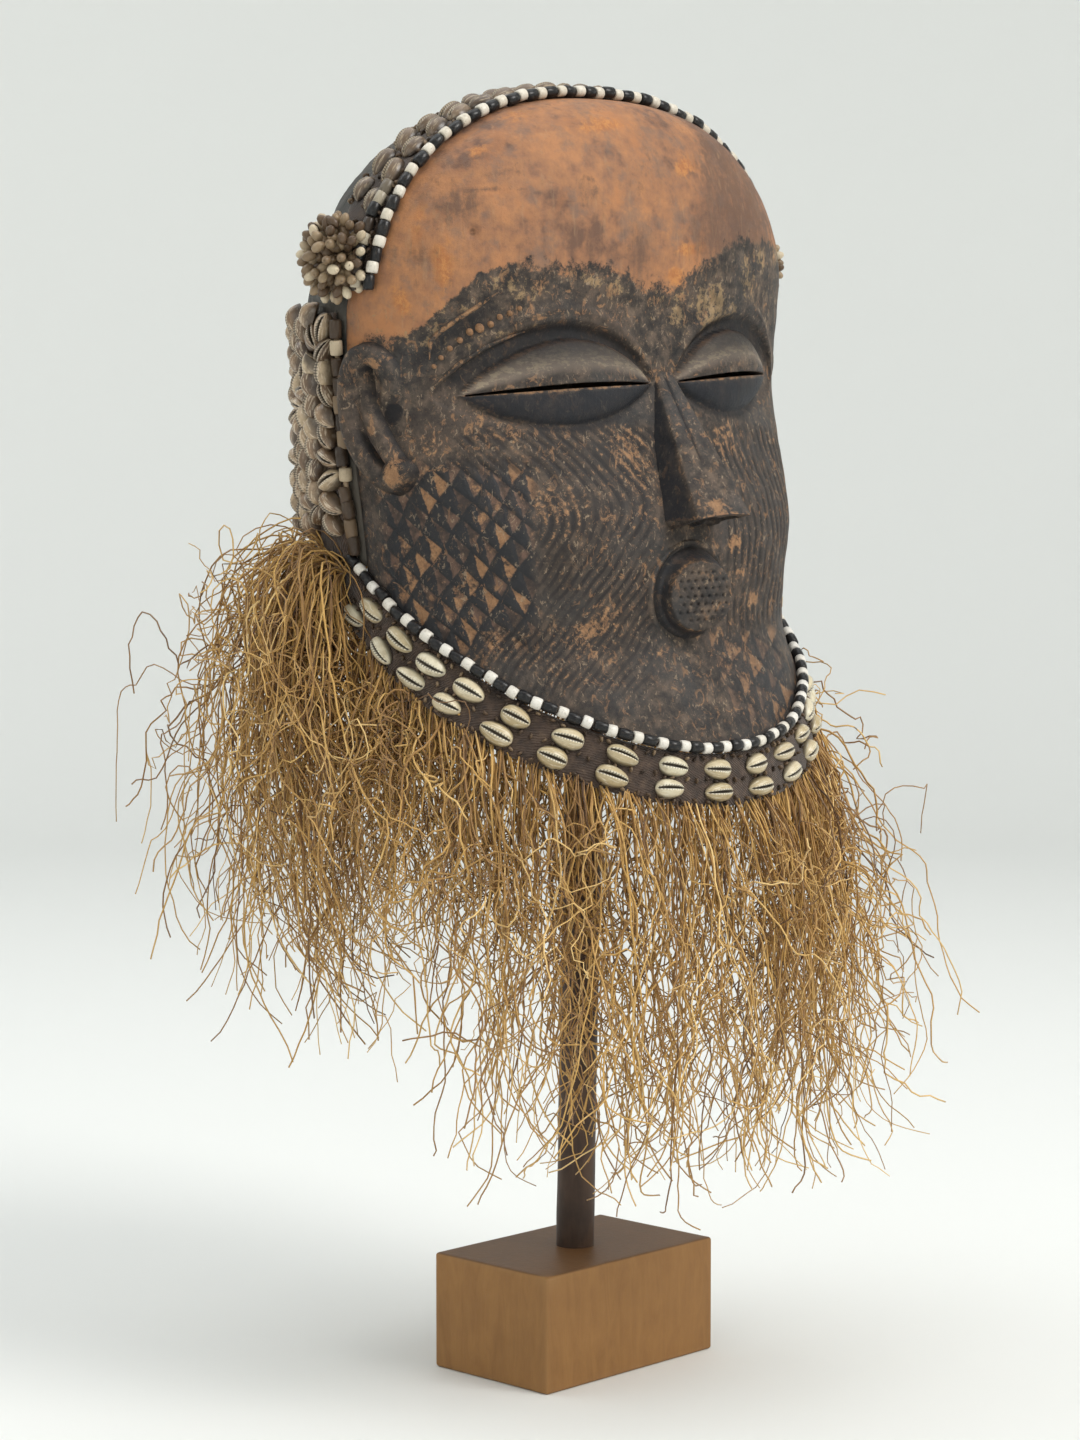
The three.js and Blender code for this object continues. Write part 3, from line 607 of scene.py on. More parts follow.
def check_place(points):
    """Where a point is in the lattice of triangles on the near cheek."""
    s, z = points @ NEAR_SHEET - CHECK["s"], points[..., 2] - CHECK["z"]
    (a, b), (c, d) = CHECK["first"], CHECK["second"]
    whole = a * d - b * c
    drift = 0.10 * wobble(points, 24, 7)
    return (s * d - z * c) / whole + drift, (a * z - b * s) / whole - drift


def stripe_phase(points):
    """Rounded chevrons that point at the nose on the near cheek, and upright lines on the far one."""
    s, z = points @ NEAR_SHEET - CHEVRON["s"], points[..., 2] - CHEVRON["z"]
    over = s * CHEVRON["over"][0] + z * CHEVRON["over"][1]
    under = s * CHEVRON["under"][0] + z * CHEVRON["under"][1]
    near = (over + under) / 2 + np.sqrt(((over - under) / 2) ** 2 + CHEVRON["round"] ** 2)
    near = near / CHEVRON["pitch"] + 0.22 * wobble(points, 20, 8)
    far = (points[..., 0] + 3 * np.sin(points[..., 2] / 17)) / FAR_PITCH + 0.15 * wobble(points, 16, 9)
    return np.where(points[..., 0] > 12, far, near)


def brow_band(points):
    """The dark band between the raised line and the row of dots over the near eye."""
    s, z = points @ NEAR_SHEET, points[..., 2]
    line = np.interp(s, BROW_LINE[:, 0], BROW_LINE[:, 1])
    dots = np.interp(s, BROW_DOTS[:, 0], BROW_DOTS[:, 1])
    return bell(z, (line + dots) / 2 + 0.5, 4.2) * window(s, -72, -64, -32, -20)


def paint(points, hollow, edge, pale, lower_lid):
    """The values that the wood's material reads: where each paint and pattern lies, and where light and
    shade are painted.
    """
    x, z = points[..., 0], points[..., 2]
    s = points @ NEAR_SHEET
    above = z - np.interp(x, OCHRE_EDGE[:, 0], OCHRE_EDGE[:, 1])
    ragged = 3.5 * wobble(points, 26, 3) + 1.5 * wobble(points, 8, 4)
    soft = blend(OCHRE_SOFT, BROW_SOFT, window(s, *BROW_ENDS))
    ochre = np.clip(0.5 + (above + ragged) / soft, 0, 1)
    lies = {}
    for name, (across, up) in AREAS.items():
        on_far = name in ("far_lines", "chin_checks")
        lies[name] = window(x if on_far else s, *across) * window(z, *up) * (on_far | (x < 0))
    m, n = check_place(points)
    stripes = np.max([lies[name] for name in AREAS if name.endswith("lines")], axis=0)
    stripes = stripes * blend(0.45, 1.0, smooth_step(wobble(points, 17, 22), -0.9, 0.3))
    zone = packed(ochre, np.maximum(lies["checks"], 0.6 * lies["chin_checks"]), stripes)

    crack = bell(z, np.interp(x, CRACK[:, 0], CRACK[:, 1]), CRACK_HALF) * window(x, *CRACK_ENDS)
    washed = 0.85 * smooth_step(x + 7 * wobble(points, 32, 13), 20, 44) * smooth_step(above, -14, 8)
    # Stains, the dark wash, the crack, and painted shade at the forehead's near edge and top
    stained_and_shaded = np.maximum(np.maximum(patches(points, STAINS_AND_SHADE, 14), washed), 0.8 * crack)
    border = 0.85 * bell(above, -8, 9) * smooth_step(wobble(points, 22, 15), -0.8, 0.7)
    flecked = np.maximum(patches(points, FLECKED, 16), border)
    flecked = np.maximum(flecked, 0.5 * window(z, 470, 478, 500, 512) * (x < -60))
    edge = np.maximum(edge, patches(points, RUBBED, 18))
    hollow = np.maximum(hollow, 0.8 * brow_band(points))
    return dict(zone=zone, wear=packed(hollow, edge, pale), pattern=packed(m, n, stripe_phase(points)),
                stain=packed(patches(points, ORANGE, 20), stained_and_shaded, flecked), blue=lower_lid)


def carve_depth(values):
    """The shallow relief of the triangles and the incised lines."""
    zone, pattern = values["zone"], values["pattern"]
    m, n = pattern[..., 0] % 1, pattern[..., 1] % 1
    sunk = smooth_step(m - n, -0.08, 0.08) * zone[..., 1]
    lines = (0.5 - 0.5 * np.cos(2 * np.pi * pattern[..., 2])) ** 1.5 * zone[..., 2]
    return (0.6 * sunk + 0.6 * lines) * (1 - 0.5 * np.clip(values["wear"][..., 1], 0, 1))


def face_rows():
    """Heights of the face's rows over the jaw part, with fine rows at the slits."""
    slit = ROOT["z"] + np.array([-2.8, -2.0, -1.5, -LID["slit"], 0, LID["slit"], 1.5, 2.0, 2.8])
    dome = np.sin(np.linspace(0, np.pi / 2, 76)[1:]) ** DOME_ROWS
    heights = DOME["foot"] + (DOME["top"] - DOME["foot"]) * dome
    return np.concatenate([
        np.linspace(405, 440, 30), np.linspace(441.1, slit[0] - 0.8, 21), slit,
        np.linspace(slit[-1] + 0.8, 500, 36), heights])


def eye_rows(z, x):
    """Moves rows so that they follow the slits, and close them towards the corners."""
    bow = np.zeros(x.shape)
    across = x - ROOT["x"]
    for eye in EYES:
        bow = np.maximum(bow, eye_place(eye, across, 0 * across, eye["outer"])[0])
    line = -across * np.sin(np.radians(ROOT["tilt"])) + LID["arch"] * bow
    rise = z - ROOT["z"]
    open_half = LID["slit"] * (0.3 + 0.7 * bow)
    reach, slit = 9.0, LID["slit"]
    outside = open_half + (np.abs(rise) - slit) * (reach - open_half) / (reach - slit)
    moved = np.where(np.abs(rise) <= slit, np.abs(rise) * open_half / slit, outside)
    rise = np.where(np.abs(rise) < reach, np.sign(rise) * moved, rise)
    return ROOT["z"] + rise + line * np.exp(-((z - ROOT["z"]) / 30) ** 2)


def face_grid(degrees, inset, jaw_rows):
    """The face's surface from the jaw line to the crown, with its relief on the outside."""
    jaw = jaw_point(degrees, inset)[:, 2]
    levels = face_rows()
    share = np.linspace(0, 1, jaw_rows)[:-1]
    low = blend(jaw[:, None], levels[0], share[None])
    z = np.concatenate([low, np.broadcast_to(levels, (len(degrees), len(levels)))], 1)
    z = np.where(z > DOME["foot"], DOME["foot"] + (z - DOME["foot"])
                 * (DOME["top"] - inset - DOME["foot"]) / (DOME["top"] - DOME["foot"]), z)
    x = ring(np.full(len(degrees), float(ROOT["z"])), degrees, 0)[:, 0]
    z = eye_rows(z, np.broadcast_to(x[:, None], z.shape))
    return ring(z, degrees[:, None], inset), len(share)


def zip_up(first, second, places_first, places_second):
    """Triangles between two lines of points with different spacing."""
    triangles, i, j = [], 0, 0
    while i < len(first) - 1 or j < len(second) - 1:
        step_first = j == len(second) - 1 or (
            i < len(first) - 1 and places_first[i + 1] <= places_second[j + 1])
        if step_first:
            triangles.append((first[i], first[i + 1], second[j]))
            i += 1
        else:
            triangles.append((first[i], second[j + 1], second[j]))
            j += 1
    return np.array(triangles)


def carved(outer, relief, values):
    """The face's outer surface with its relief, carving, unevenness and pit."""
    x, z = outer[..., 0], outer[..., 2]
    normal = outward(outer)
    points = outer - carve_depth(values)[..., None] * normal
    points[..., 1] -= relief * (np.abs(x) < RELIEF_HALF)
    uneven = 0.35 * wobble(outer, 30, 11) + 0.12 * wobble(outer, 9, 12)
    points = points + uneven[..., None] * normal * smooth_step(DOME["top"] - z, 0, 20)[..., None]
    dent = bell(x, PIT["x"], PIT["wide"]) * bell(z, PIT["z"], PIT["wide"]) * PIT["deep"]
    return points - dent[..., None] * normal


def slit_gap(x):
    """Which columns of the face are open at the slits."""
    across = x - ROOT["x"]
    is_open = np.zeros(len(x), bool)
    for eye in EYES:
        share = (across - eye["inner"]) / (eye["outer"] - eye["inner"])
        is_open |= (share > LID_JOIN) & (share < 1 - LID_JOIN)
    return is_open[:-1] & is_open[1:]


def slit_walls(ids, inside, middle, inner_middle, gap):
    """The walls round the open slits, from the outer surface to the inner one."""
    faces = []
    for side in (-1, 1):
        wall = wall_between(ids[:, middle + side], inside[:, inner_middle + side])[gap]
        faces.append(wall[:, ::side])
    changes = np.diff(np.concatenate([[0], gap, [0]]))
    outer_slit, inner_slit = slice(middle - 1, middle + 2), slice(inner_middle - 1, inner_middle + 2)
    for side in (1, -1):
        for column in np.flatnonzero(changes == side):
            wall = wall_between(ids[column, outer_slit], inside[column, inner_slit])
            faces.append(wall[:, ::side])
    return faces


def without_slits(ids, middle, gap):
    """The quads of a grid, but for those over the slits."""
    kept = np.ones((ids.shape[0] - 1, ids.shape[1] - 1), bool)
    kept[gap, middle - 1:middle + 1] = False
    return quads(ids)[kept.ravel()]


def wooden_face():
    """The face with its inner wall, open at the slits, the jaw and the back."""
    columns, jaw_rows = GRID["columns"], GRID["jaw_rows"]
    degrees = np.linspace(-90, 90, columns)
    outer, low = face_grid(degrees, 0, jaw_rows)
    relief, *marks = face_relief(outer[..., 0], outer[..., 2])
    values = paint(outer, *marks)
    surface = carved(outer, relief, values)
    pole = outer.shape[1] - 1
    surface[:, pole] = outer[:, pole].mean(0)

    inner_all, _ = face_grid(degrees, WOOD_WALL, jaw_rows)
    middle = low + int(np.argmin(np.abs(face_rows() - ROOT["z"])))
    coarse = np.arange(0, pole, GRID["inner_step"])
    kept = np.unique(np.concatenate([coarse, [pole, middle - 1, middle, middle + 1]]))
    inner_middle = int(np.searchsorted(kept, middle))
    inner = inner_all[:, kept]
    inner[:, -1] = inner[:, -1].mean(0)

    ids = numbered(outer)
    inside = numbered(inner, ids.size)
    for grid in (ids, inside):
        grid[:, -1] = grid[0, -1]
    gap = slit_gap(outer[:, middle, 0])
    faces = [without_slits(ids, middle, gap), without_slits(inside, inner_middle, gap)[:, ::-1]]
    faces += slit_walls(ids, inside, middle, inner_middle, gap)
    faces.append(wall_between(ids[:, 0], inside[:, 0])[:, [1, 2, 3, 0]])
    for column, turn in ((0, -1), (columns - 1, 1)):
        rim = zip_up(ids[column], inside[column], np.arange(pole + 1), kept)
        faces.append(rim[:, ::turn])
    points = pooled(surface, inner)
    joined = {name: np.concatenate([values[name].reshape(-1, width), np.zeros((inside.size, width))])
              for name, width in WOOD_CHANNELS.items()}
    # The inner wall is darkened: painted shade
    joined["wear"][ids.size:, 0] = INNER_SHADE
    return points, faces, joined


def on_face(rows, height):
    """Points of the carved face at places s, z of the near sheet, lifted off it."""
    x = np.linspace(-112, 60, 300)
    bare = []
    for s, z in rows:
        y = front_y(x, np.full(x.shape, float(z)))
        at_x = np.interp(s, x * NEAR_SHEET[0] + y * NEAR_SHEET[1], x)
        bare.append([at_x, np.interp(at_x, x, y), z])
    bare = np.array(bare)
    raised = lifted(bare, height)
    raised[:, 1] -= face_relief(bare[:, 0], bare[:, 2])[0]
    return raised


def add_brow(shape):
    """Two raised lines and a row of raised dots that follow the near brow."""
    count, taper = 60, 12
    for row, worn, width in ((BROW_LINE, 0.72, 1.15), (BROW_RIDGE, 0.5, 1.2)):
        s = np.linspace(row[0, 0], row[-1, 0], count)
        places = packed(s, np.interp(s, row[:, 0], row[:, 1]))
        from_end = np.minimum(np.arange(count), count - 1 - np.arange(count))
        ends = np.clip(from_end / taper, 0.25, 1)
        body, faces = tubes(on_face(places, -0.3 * width * ends)[None], (width * ends)[None], 8)
        shape.add(body, faces, wear=np.tile([0.0, worn, 0.0], (body.size // 3, 1)))
    foot = on_face(BROW_DOTS, 0.0)
    axes = frames_on(np.tile([0.5, 0.0, 0.5], (len(foot), 1)), outward(foot))
    from_middle = np.abs(BROW_DOTS[:, 0] + 38)
    sizes = np.array([3.4, 2.0, 1.5]) * np.interp(from_middle, [0, 5, 20], [1.2, 0.85, 0.6])[:, None]
    worn = np.tile([0.0, 1.0, 0.0], (len(foot), 1))
    shape.add_copies(oval_bead(), foot, axes * sizes[..., None], wear=worn)


def nose():
    """A long wedge with a flat ridge that turns to the near side, and two nostrils under it."""
    v = np.linspace(0, 1, 64)[:, None]
    side = np.linspace(-1, 1, 57)
    foot = blend(NOSE["tip_foot"], NOSE["root_foot"], v)
    ridge = blend(NOSE["tip_half"], NOSE["root_half"], v)
    on_wall = np.clip((np.abs(side) - (1 - NOSE["wall"])) / NOSE["wall"], 0, 1)[None]
    half = np.sign(side) * np.where(on_wall > 0, blend(ridge, foot, on_wall ** 1.6),
                                    ridge * np.abs(side) / (1 - NOSE["wall"]))
    x, z = from_feature(half, blend(NOSE["base"], NOSE["top"], v) - ROOT["z"] + 0 * half)
    skin = front_y(x, z)
    crest = blend(NOSE["tip_y"], NOSE["root_y"], v) + NOSE["turn"] * (ridge - half).clip(0)
    sag = NOSE["sag"] * (1 - v) ** 4 * (half / NOSE["tip_half"]) ** 2
    y = blend(crest, skin + NOSE["seat"], on_wall ** 1.25)
    y = y + 0.8 * bell(np.abs(side)[None], 1 - NOSE["wall"], 0.08)
    along_ridge = window(v, 0.33, 0.38, 0.95, 1.0)
    nick = 0.6 * bell(half, -0.5, 0.6) * along_ridge
    front = packed(x, y + nick, z - sag)
    back = packed(x, skin + NOSE["seat"] + 0.5, z - (1 - v) * NOSE["rise"])

    depth = np.linspace(0, 1, 26)[:, None]
    under = blend(front[0][None], back[0][None], depth[..., None])
    hole = np.zeros(under.shape[:2])
    for sign in (-1, 1):
        across = (under[..., 0] - sign * NOSTRIL["side"]) / NOSTRIL["half"]
        away = np.hypot(across, (depth - NOSTRIL["place"]) / NOSTRIL["reach"])
        hole = np.maximum(hole, np.clip(1.25 - away, 0, 1))
    under[..., 2] += NOSTRIL["deep"] * np.sqrt(hole) * smooth_step(depth, 0.1, 0.35)
    ids = numbered(front)
    behind = ids + ids.size
    below = numbered(hole, 2 * ids.size)
    below[0], below[-1] = ids[0], behind[0]
    faces = [quads(ids), quads(behind)[:, ::-1], quads(below)[:, ::-1]]
    for edge, turn in ((0, 1), (-1, -1)):
        faces.append(wall_between(ids[:, edge], behind[:, edge])[:, ::turn])
    faces.append(wall_between(ids[-1], behind[-1]))
    points = pooled(front, back, under)

    worn = bell(v, 0.07, 0.05) * bell(half, -3, 5) + 0.8 * bell(v, 0.0, 0.025)
    line = 0.9 * bell(half, -0.5, 0.7) * along_ridge
    lip = 0.6 * bell(depth, 0, 0.06)
    # Painted shade in the nostrils and under the nose, more of it further in
    dark = np.maximum(smooth_step(hole, 0.02, 0.25), 0.55 * smooth_step(depth, 0.1, 0.5))
    wear = pooled(packed(line, worn, 0), np.zeros(back.shape), packed(dark, lip, 0))
    # The near wall takes blue-black paint and painted shade; the far wall does not
    walls = 0.9 * smooth_step(on_wall, 0.02, 0.35) * (half < 0)
    blue = np.concatenate([walls.ravel(), np.zeros(len(points) - ids.size)])
    return points, faces, dict(wear=wear, blue=blue)


def mouth_drum():
    """A round drum that stands on the lower face, turned to the near side, its end pierced with dots."""
    disc, base, stand = MOUTH["disc"], MOUTH["base"], MOUTH["stand"]
    outline = np.array(
        [(r, stand) for r in np.linspace(0, disc - 0.9, 30)]
        + [(disc - 0.3, stand - 0.2), (disc, stand - 0.9), (disc + 0.3, stand - 2)]
        + [(blend(disc + 0.3, base, t), blend(stand - 2, 0.2, t ** 0.8)) for t in np.linspace(0.1, 1, 12)]
        + [(base + 0.7, 0.1), (base + 1.5, 0.7), (base + 2.3, 1.0), (base + 3.1, 0.5), (base + 4.4, -2.0)])
    turn = full_turn(96)
    r, h, a = outline[:, :1], outline[:, 1:], turn[None]
    across, up = r * np.cos(a), r * np.sin(a)
    h = h + 0.5 * (r < disc) * (1 - (r / disc) ** 2)
    crease = (base + 0.5 < r) * (r < base + 4)
    h = h - 0.9 * crease * smooth_step(np.cos(a - 2.2), 0.3, -0.3)
    dots = np.zeros(across.shape)
    wide, tall = MOUTH["dot_pitch"]
    for row in range(-3, 4):
        for column in range(-3, 4):
            dot_x, dot_z = wide * (column + 0.5 * (row % 2)), tall * row
            if np.hypot(dot_x, dot_z) < disc - MOUTH["margin"]:
                dots = np.maximum(dots, bell(np.hypot(across - dot_x, up - dot_z), 0, MOUTH["dot"]))
    h = h - MOUTH["dot_deep"] * dots
    tilt, swing = np.radians(MOUTH["tilt"]), np.radians(MOUTH["turn"])
    flat = front_y(MOUTH["x"], MOUTH["z"])
    forward = h * np.cos(tilt) + up * np.sin(tilt)
    x = MOUTH["x"] + across * np.cos(swing) - forward * np.sin(swing)
    z = MOUTH["z"] + up * np.cos(tilt) - h * np.sin(tilt)
    on_skin = smooth_step(r, base - 4, base)
    x = blend(x, MOUTH["x"] + across, on_skin)
    z = blend(z, MOUTH["z"] + up, on_skin)
    y = blend(flat - forward * np.cos(swing) - across * np.sin(swing), front_y(x, z) - h, on_skin)
    top = packed(x, y, z)
    bottom = top.copy()
    bottom[..., 1] = front_y(x, z) + 5
    ids = numbered(top)
    wrapped = closed(ids)
    wrapped[0] = wrapped[0, 0]
    low = wrapped + ids.size
    faces = [quads(wrapped), quads(low)[:, ::-1], wall_between(wrapped[-1], low[-1])]
    # Painted shade in the dots and in the crease round the foot
    crevice = np.maximum(dots, 0.9 * window(r, base - 1.2, base - 0.2, base + 0.6, base + 1.2))
    worn = 0.55 * bell(r, disc, 0.8) * (np.cos(a - 3.3) > 0)
    worn = worn + 0.5 * bell(r, base + 2.2, 0.7) * smooth_step(np.cos(a - 2.2), 0.1, 0.8)
    wear = packed(crevice, worn, 0)
    # The drum's side is painted blue-black: painted shade
    shaded = 0.8 * window(r + 0 * a, disc, disc + 1, base - 1, base)
    return pooled(top, bottom), faces, dict(wear=pooled(wear, wear), blue=np.tile(shaded.ravel(), 2))


# An ear's rim and inner fold, as places forward, up and out from the side of the head
RIM_PATH = np.array([(4, 9, -3.6), (7.2, 14, -1.6), (8.2, 20, 0.0), (6, 26, 1.2), (1, 29.5, 2.4),
                     (-4.5, 27, 4.2), (-8.7, 15, 6.4), (-9.2, -2, 6.4), (-5.5, -14, 5.0), (0.5, -23, 3.4),
                     (6.5, -26.5, 2.0), (10.5, -22.5, 1.2)])
FOLD_PATH = np.array([(-3.8, 19, 0.2), (-3.8, 11, 1.6), (-2.4, 3, 2.0), (1.2, -5, 1.8), (5.2, -12, 1.4),
                      (9, -18, 1.0)])
FAR_BELOW = -40.0


def smooth_path(points, count):
    """A smooth line through points, evenly sampled by their number."""
    t = np.linspace(0, len(points) - 1, count)
    i = np.clip(t.astype(int), 0, len(points) - 2)
    f = (t - i)[:, None]
    padded = np.concatenate([2 * points[:1] - points[1:2], points, 2 * points[-1:] - points[-2:-1]])
    a, b, c, d = padded[i], padded[i + 1], padded[i + 2], padded[i + 3]
    return 0.5 * (2 * b + (c - a) * f + (2 * a - 5 * b + 4 * c - d) * f ** 2
                  + (3 * b - a - 3 * c + d) * f ** 3)


def ear(side):
    """An ear carved in relief: a curled rim, an inner fold and a worn lobe."""
    forward = np.linspace(*EAR["forward"], 68)[:, None]
    up = np.linspace(*EAR["up"], 112)[None]
    place = packed(forward, up)
    height, near = np.full(place.shape[:2], FAR_BELOW), np.full(place.shape[:2], 99.0)
    for path, radius, lobed in ((RIM_PATH, EAR["rim"], 0.35), (FOLD_PATH, EAR["fold"], 0)):
        line = smooth_path(path, 90)
        gap = np.linalg.norm(place[:, :, None] - line[:, :2], axis=-1)
        nearest = gap.argmin(-1)
        away = gap.min(-1)
        size = radius * (1 + lobed * smooth_step(nearest, 72, 89))
        body = line[nearest, 2] + size * np.sqrt(np.clip(1 - (away / size) ** 2, 0, 1))
        skirt = line[nearest, 2] - 2.4 * np.clip(away - size * 0.98, 0, None)
        height = np.maximum(height, np.where(away < size, body, skirt))
        near = np.minimum(near, away / size)
    dish = -1.0 - 0.02 * ((forward - 1) ** 2 + (up / 2) ** 2)
    in_dish = (np.abs(up) < 26) & (forward < 5) & (forward > -8)
    height = np.maximum(height, np.where(in_dish, dish, FAR_BELOW))
    hole_forward, hole_up, hole_half = EAR["hole"]
    hole = np.hypot(forward - hole_forward, (up - hole_up) / 1.2) - hole_half
    lip = 0.3 - 0.4 * np.abs(hole - 0.6) ** 1.5
    height = np.maximum(height, np.where(hole < 3, lip, FAR_BELOW))
    height = np.where(hole < 0, 0.35, height)
    height = np.clip(height, EAR["lowest"], None)
    z = EAR["z"] + up + 0 * forward
    y = EAR["y"] - forward + 0 * up
    half, front, _, square, rear = section(z)
    bare = half * bowed(np.abs((y - rear) / front), square)
    top = packed(side * (bare + height), y, z)
    bottom = packed(side * (bare - EAR["root"]), y, z)
    points, faces = slab(top, bottom)
    lobe = 1.1 * bell(forward, 11, 5) * bell(up, -23, 8) + 0.6 * bell(forward, 5, 4) * bell(up, 24, 5)
    lobe = lobe + 0.4 * bell(near, 0, 0.5) * window(up + 0 * forward, 18, 26, 32, 36)
    lobe = lobe + 0.3 * bell(forward, -5, 4) * bell(up, -14, 6)
    # Painted shade along the edges of the rim and fold, and a dark disc as painted shade for the hole
    crevice = smooth_step(near, 0.8, 1.1) * (1 - smooth_step(near, 1.8, 2.6)) * 0.9
    crevice = np.where(hole < 0.5, 1.0, crevice)
    wear = packed(crevice, lobe, 0)
    return points, faces, dict(wear=pooled(wear, wear))


# Templates of sewn things, one unit long, wide and tall where that fits

def cowrie():
    """A cowrie that lies on its back, with a slit along it, and its own places along and across."""
    u = np.sin(np.linspace(-1, 1, 20) * np.pi / 2) * 0.999
    v = np.array([-1, -0.93, -0.78, -0.56, -0.36, -0.2, -0.09, 0, 0.09, 0.2, 0.36, 0.56, 0.78, 0.93, 1])
    u, v = u[:, None], v[None]
    half = np.sqrt(1 - u ** 2) ** 0.86 * (1 - 0.13 * u)
    dome = (1 - np.abs(u) ** 2.4) ** 0.5 * (1 - np.abs(v) ** 2.5) ** 0.6
    groove = 0.62 * bell(v, 0, 0.1) * (1 - u ** 6)
    lips = 0.16 * bell(np.abs(v), 0.24, 0.13)
    top = packed(u / 2 + 0 * v, half * v / 2, dome * (1 - groove + lips))
    ids = numbered(top)
    border = border_of(ids)
    foot = top.reshape(-1, 3)[border] * [1, 1, 0] - [0, 0, 0.06]
    below = ids.size + np.arange(len(border))
    side = packed(border, np.roll(border, -1), np.roll(below, -1), below)
    place = packed(u, v, 0 * u).reshape(-1, 3)
    place = np.concatenate([place, place[border]])
    faces = [quads(ids), side[:, ::-1], below[None, ::-1]]
    return (pooled(top, foot), faces), place


def lathe_template(outline, sides):
    """A closed ring turned about x from an outline of places along and out from the axis."""
    outline = np.asarray(outline, float)
    turn = full_turn(sides)
    points = packed(outline[:, :1], outline[:, 1:] * np.cos(turn), outline[:, 1:] * np.sin(turn))
    ids = numbered(points)
    return points.reshape(-1, 3), [quads(closed(np.concatenate([ids, ids[:1]])))]


def cylinder_bead():
    return lathe_template([(-0.5, 0.4), (-0.5, 0.8), (-0.42, 0.97), (0, 1.02), (0.42, 0.97),
                           (0.5, 0.8), (0.5, 0.4)], 12)


def round_bead():
    return lathe_template([(-0.42, 0.35), (-0.4, 0.7), (0, 1.02), (0.4, 0.7), (0.42, 0.35)], 8)


def oval_bead():
    return lathe_template([(-0.5, 0.12), (-0.44, 0.5), (-0.22, 0.9), (0, 1), (0.22, 0.9), (0.44, 0.5),
                           (0.5, 0.12)], 10)


def sampled(line, places, at):
    """Points of a line at some of its places."""
    return packed(*[np.interp(at, places, line[:, k]) for k in range(3)])


def along_line(points, spacing):
    """Middles of pieces laid end to end along a line, with their directions."""
    lengths = np.concatenate([[0], np.cumsum(np.linalg.norm(np.diff(points, axis=0), axis=1))])
    count = int(lengths[-1] // spacing)
    at = (np.arange(count) + 0.5) * lengths[-1] / count
    ahead, before = sampled(points, lengths, at + 1), sampled(points, lengths, at - 1)
    return sampled(points, lengths, at), unit(ahead - before), lengths[-1] / count


def add_string(shape, points, spacing, radius, dice, tones, loose=0.25):
    """Beads threaded along a line, with tones that repeat, and the thread through them."""
    middles, direction, length = along_line(points, spacing)
    count = len(middles)
    up = unit(np.cross(direction, unit(dice.normal(size=(count, 3)))))
    direction = unit(direction + dice.normal(0, 0.05, (count, 3)))
    axes = frames_on(direction, unit(up - (up * direction).sum(-1, keepdims=True) * direction))
    tone = np.resize(tones, count) + dice.uniform(-0.05, 0.05, count)
    long = length * dice.uniform(0.9, 0.99, count) * np.where(tone > 0.7, 0.84, 1.12)
    thick = radius * dice.uniform(0.92, 1.05, count)
    axes = axes * packed(long, thick, thick)[..., None]
    middles = middles + dice.normal(0, loose, (count, 3))
    shape.add_copies(cylinder_bead(), middles, axes, tone=tone)
    thread = sampled(points, np.linspace(0, 1, len(points)), np.linspace(0, 1, 90))
    body, faces = tubes(thread[None], radius * 0.42, 6)
    shape.add(body, faces, tone=0.5)


def add_shells(shape, places, direction, up, dice, size=(1, 1, 1), unevenly=0.12):
    """Cowries on cloth, each a little different in size, turn and tilt."""
    count = len(places)
    up = unit(up + dice.normal(0, unevenly * 0.7, (count, 3)))
    direction = direction + dice.normal(0, unevenly, (count, 3))
    axes = frames_on(direction, up)
    flip = np.where(dice.random(count) < 0.5, -1, 1)
    flipped = packed(flip, flip, 1)[..., None]
    grown = np.array([SHELL["long"], SHELL["wide"], SHELL["tall"]]) * size
    grown = grown * dice.uniform(0.9, 1.06, (count, 3))
    template, own_place = cowrie()
    shape.add_copies(template, places, axes * flipped * grown[..., None], {"spot": own_place},
                     tone=dice.uniform(0, 1, count))


# Materials

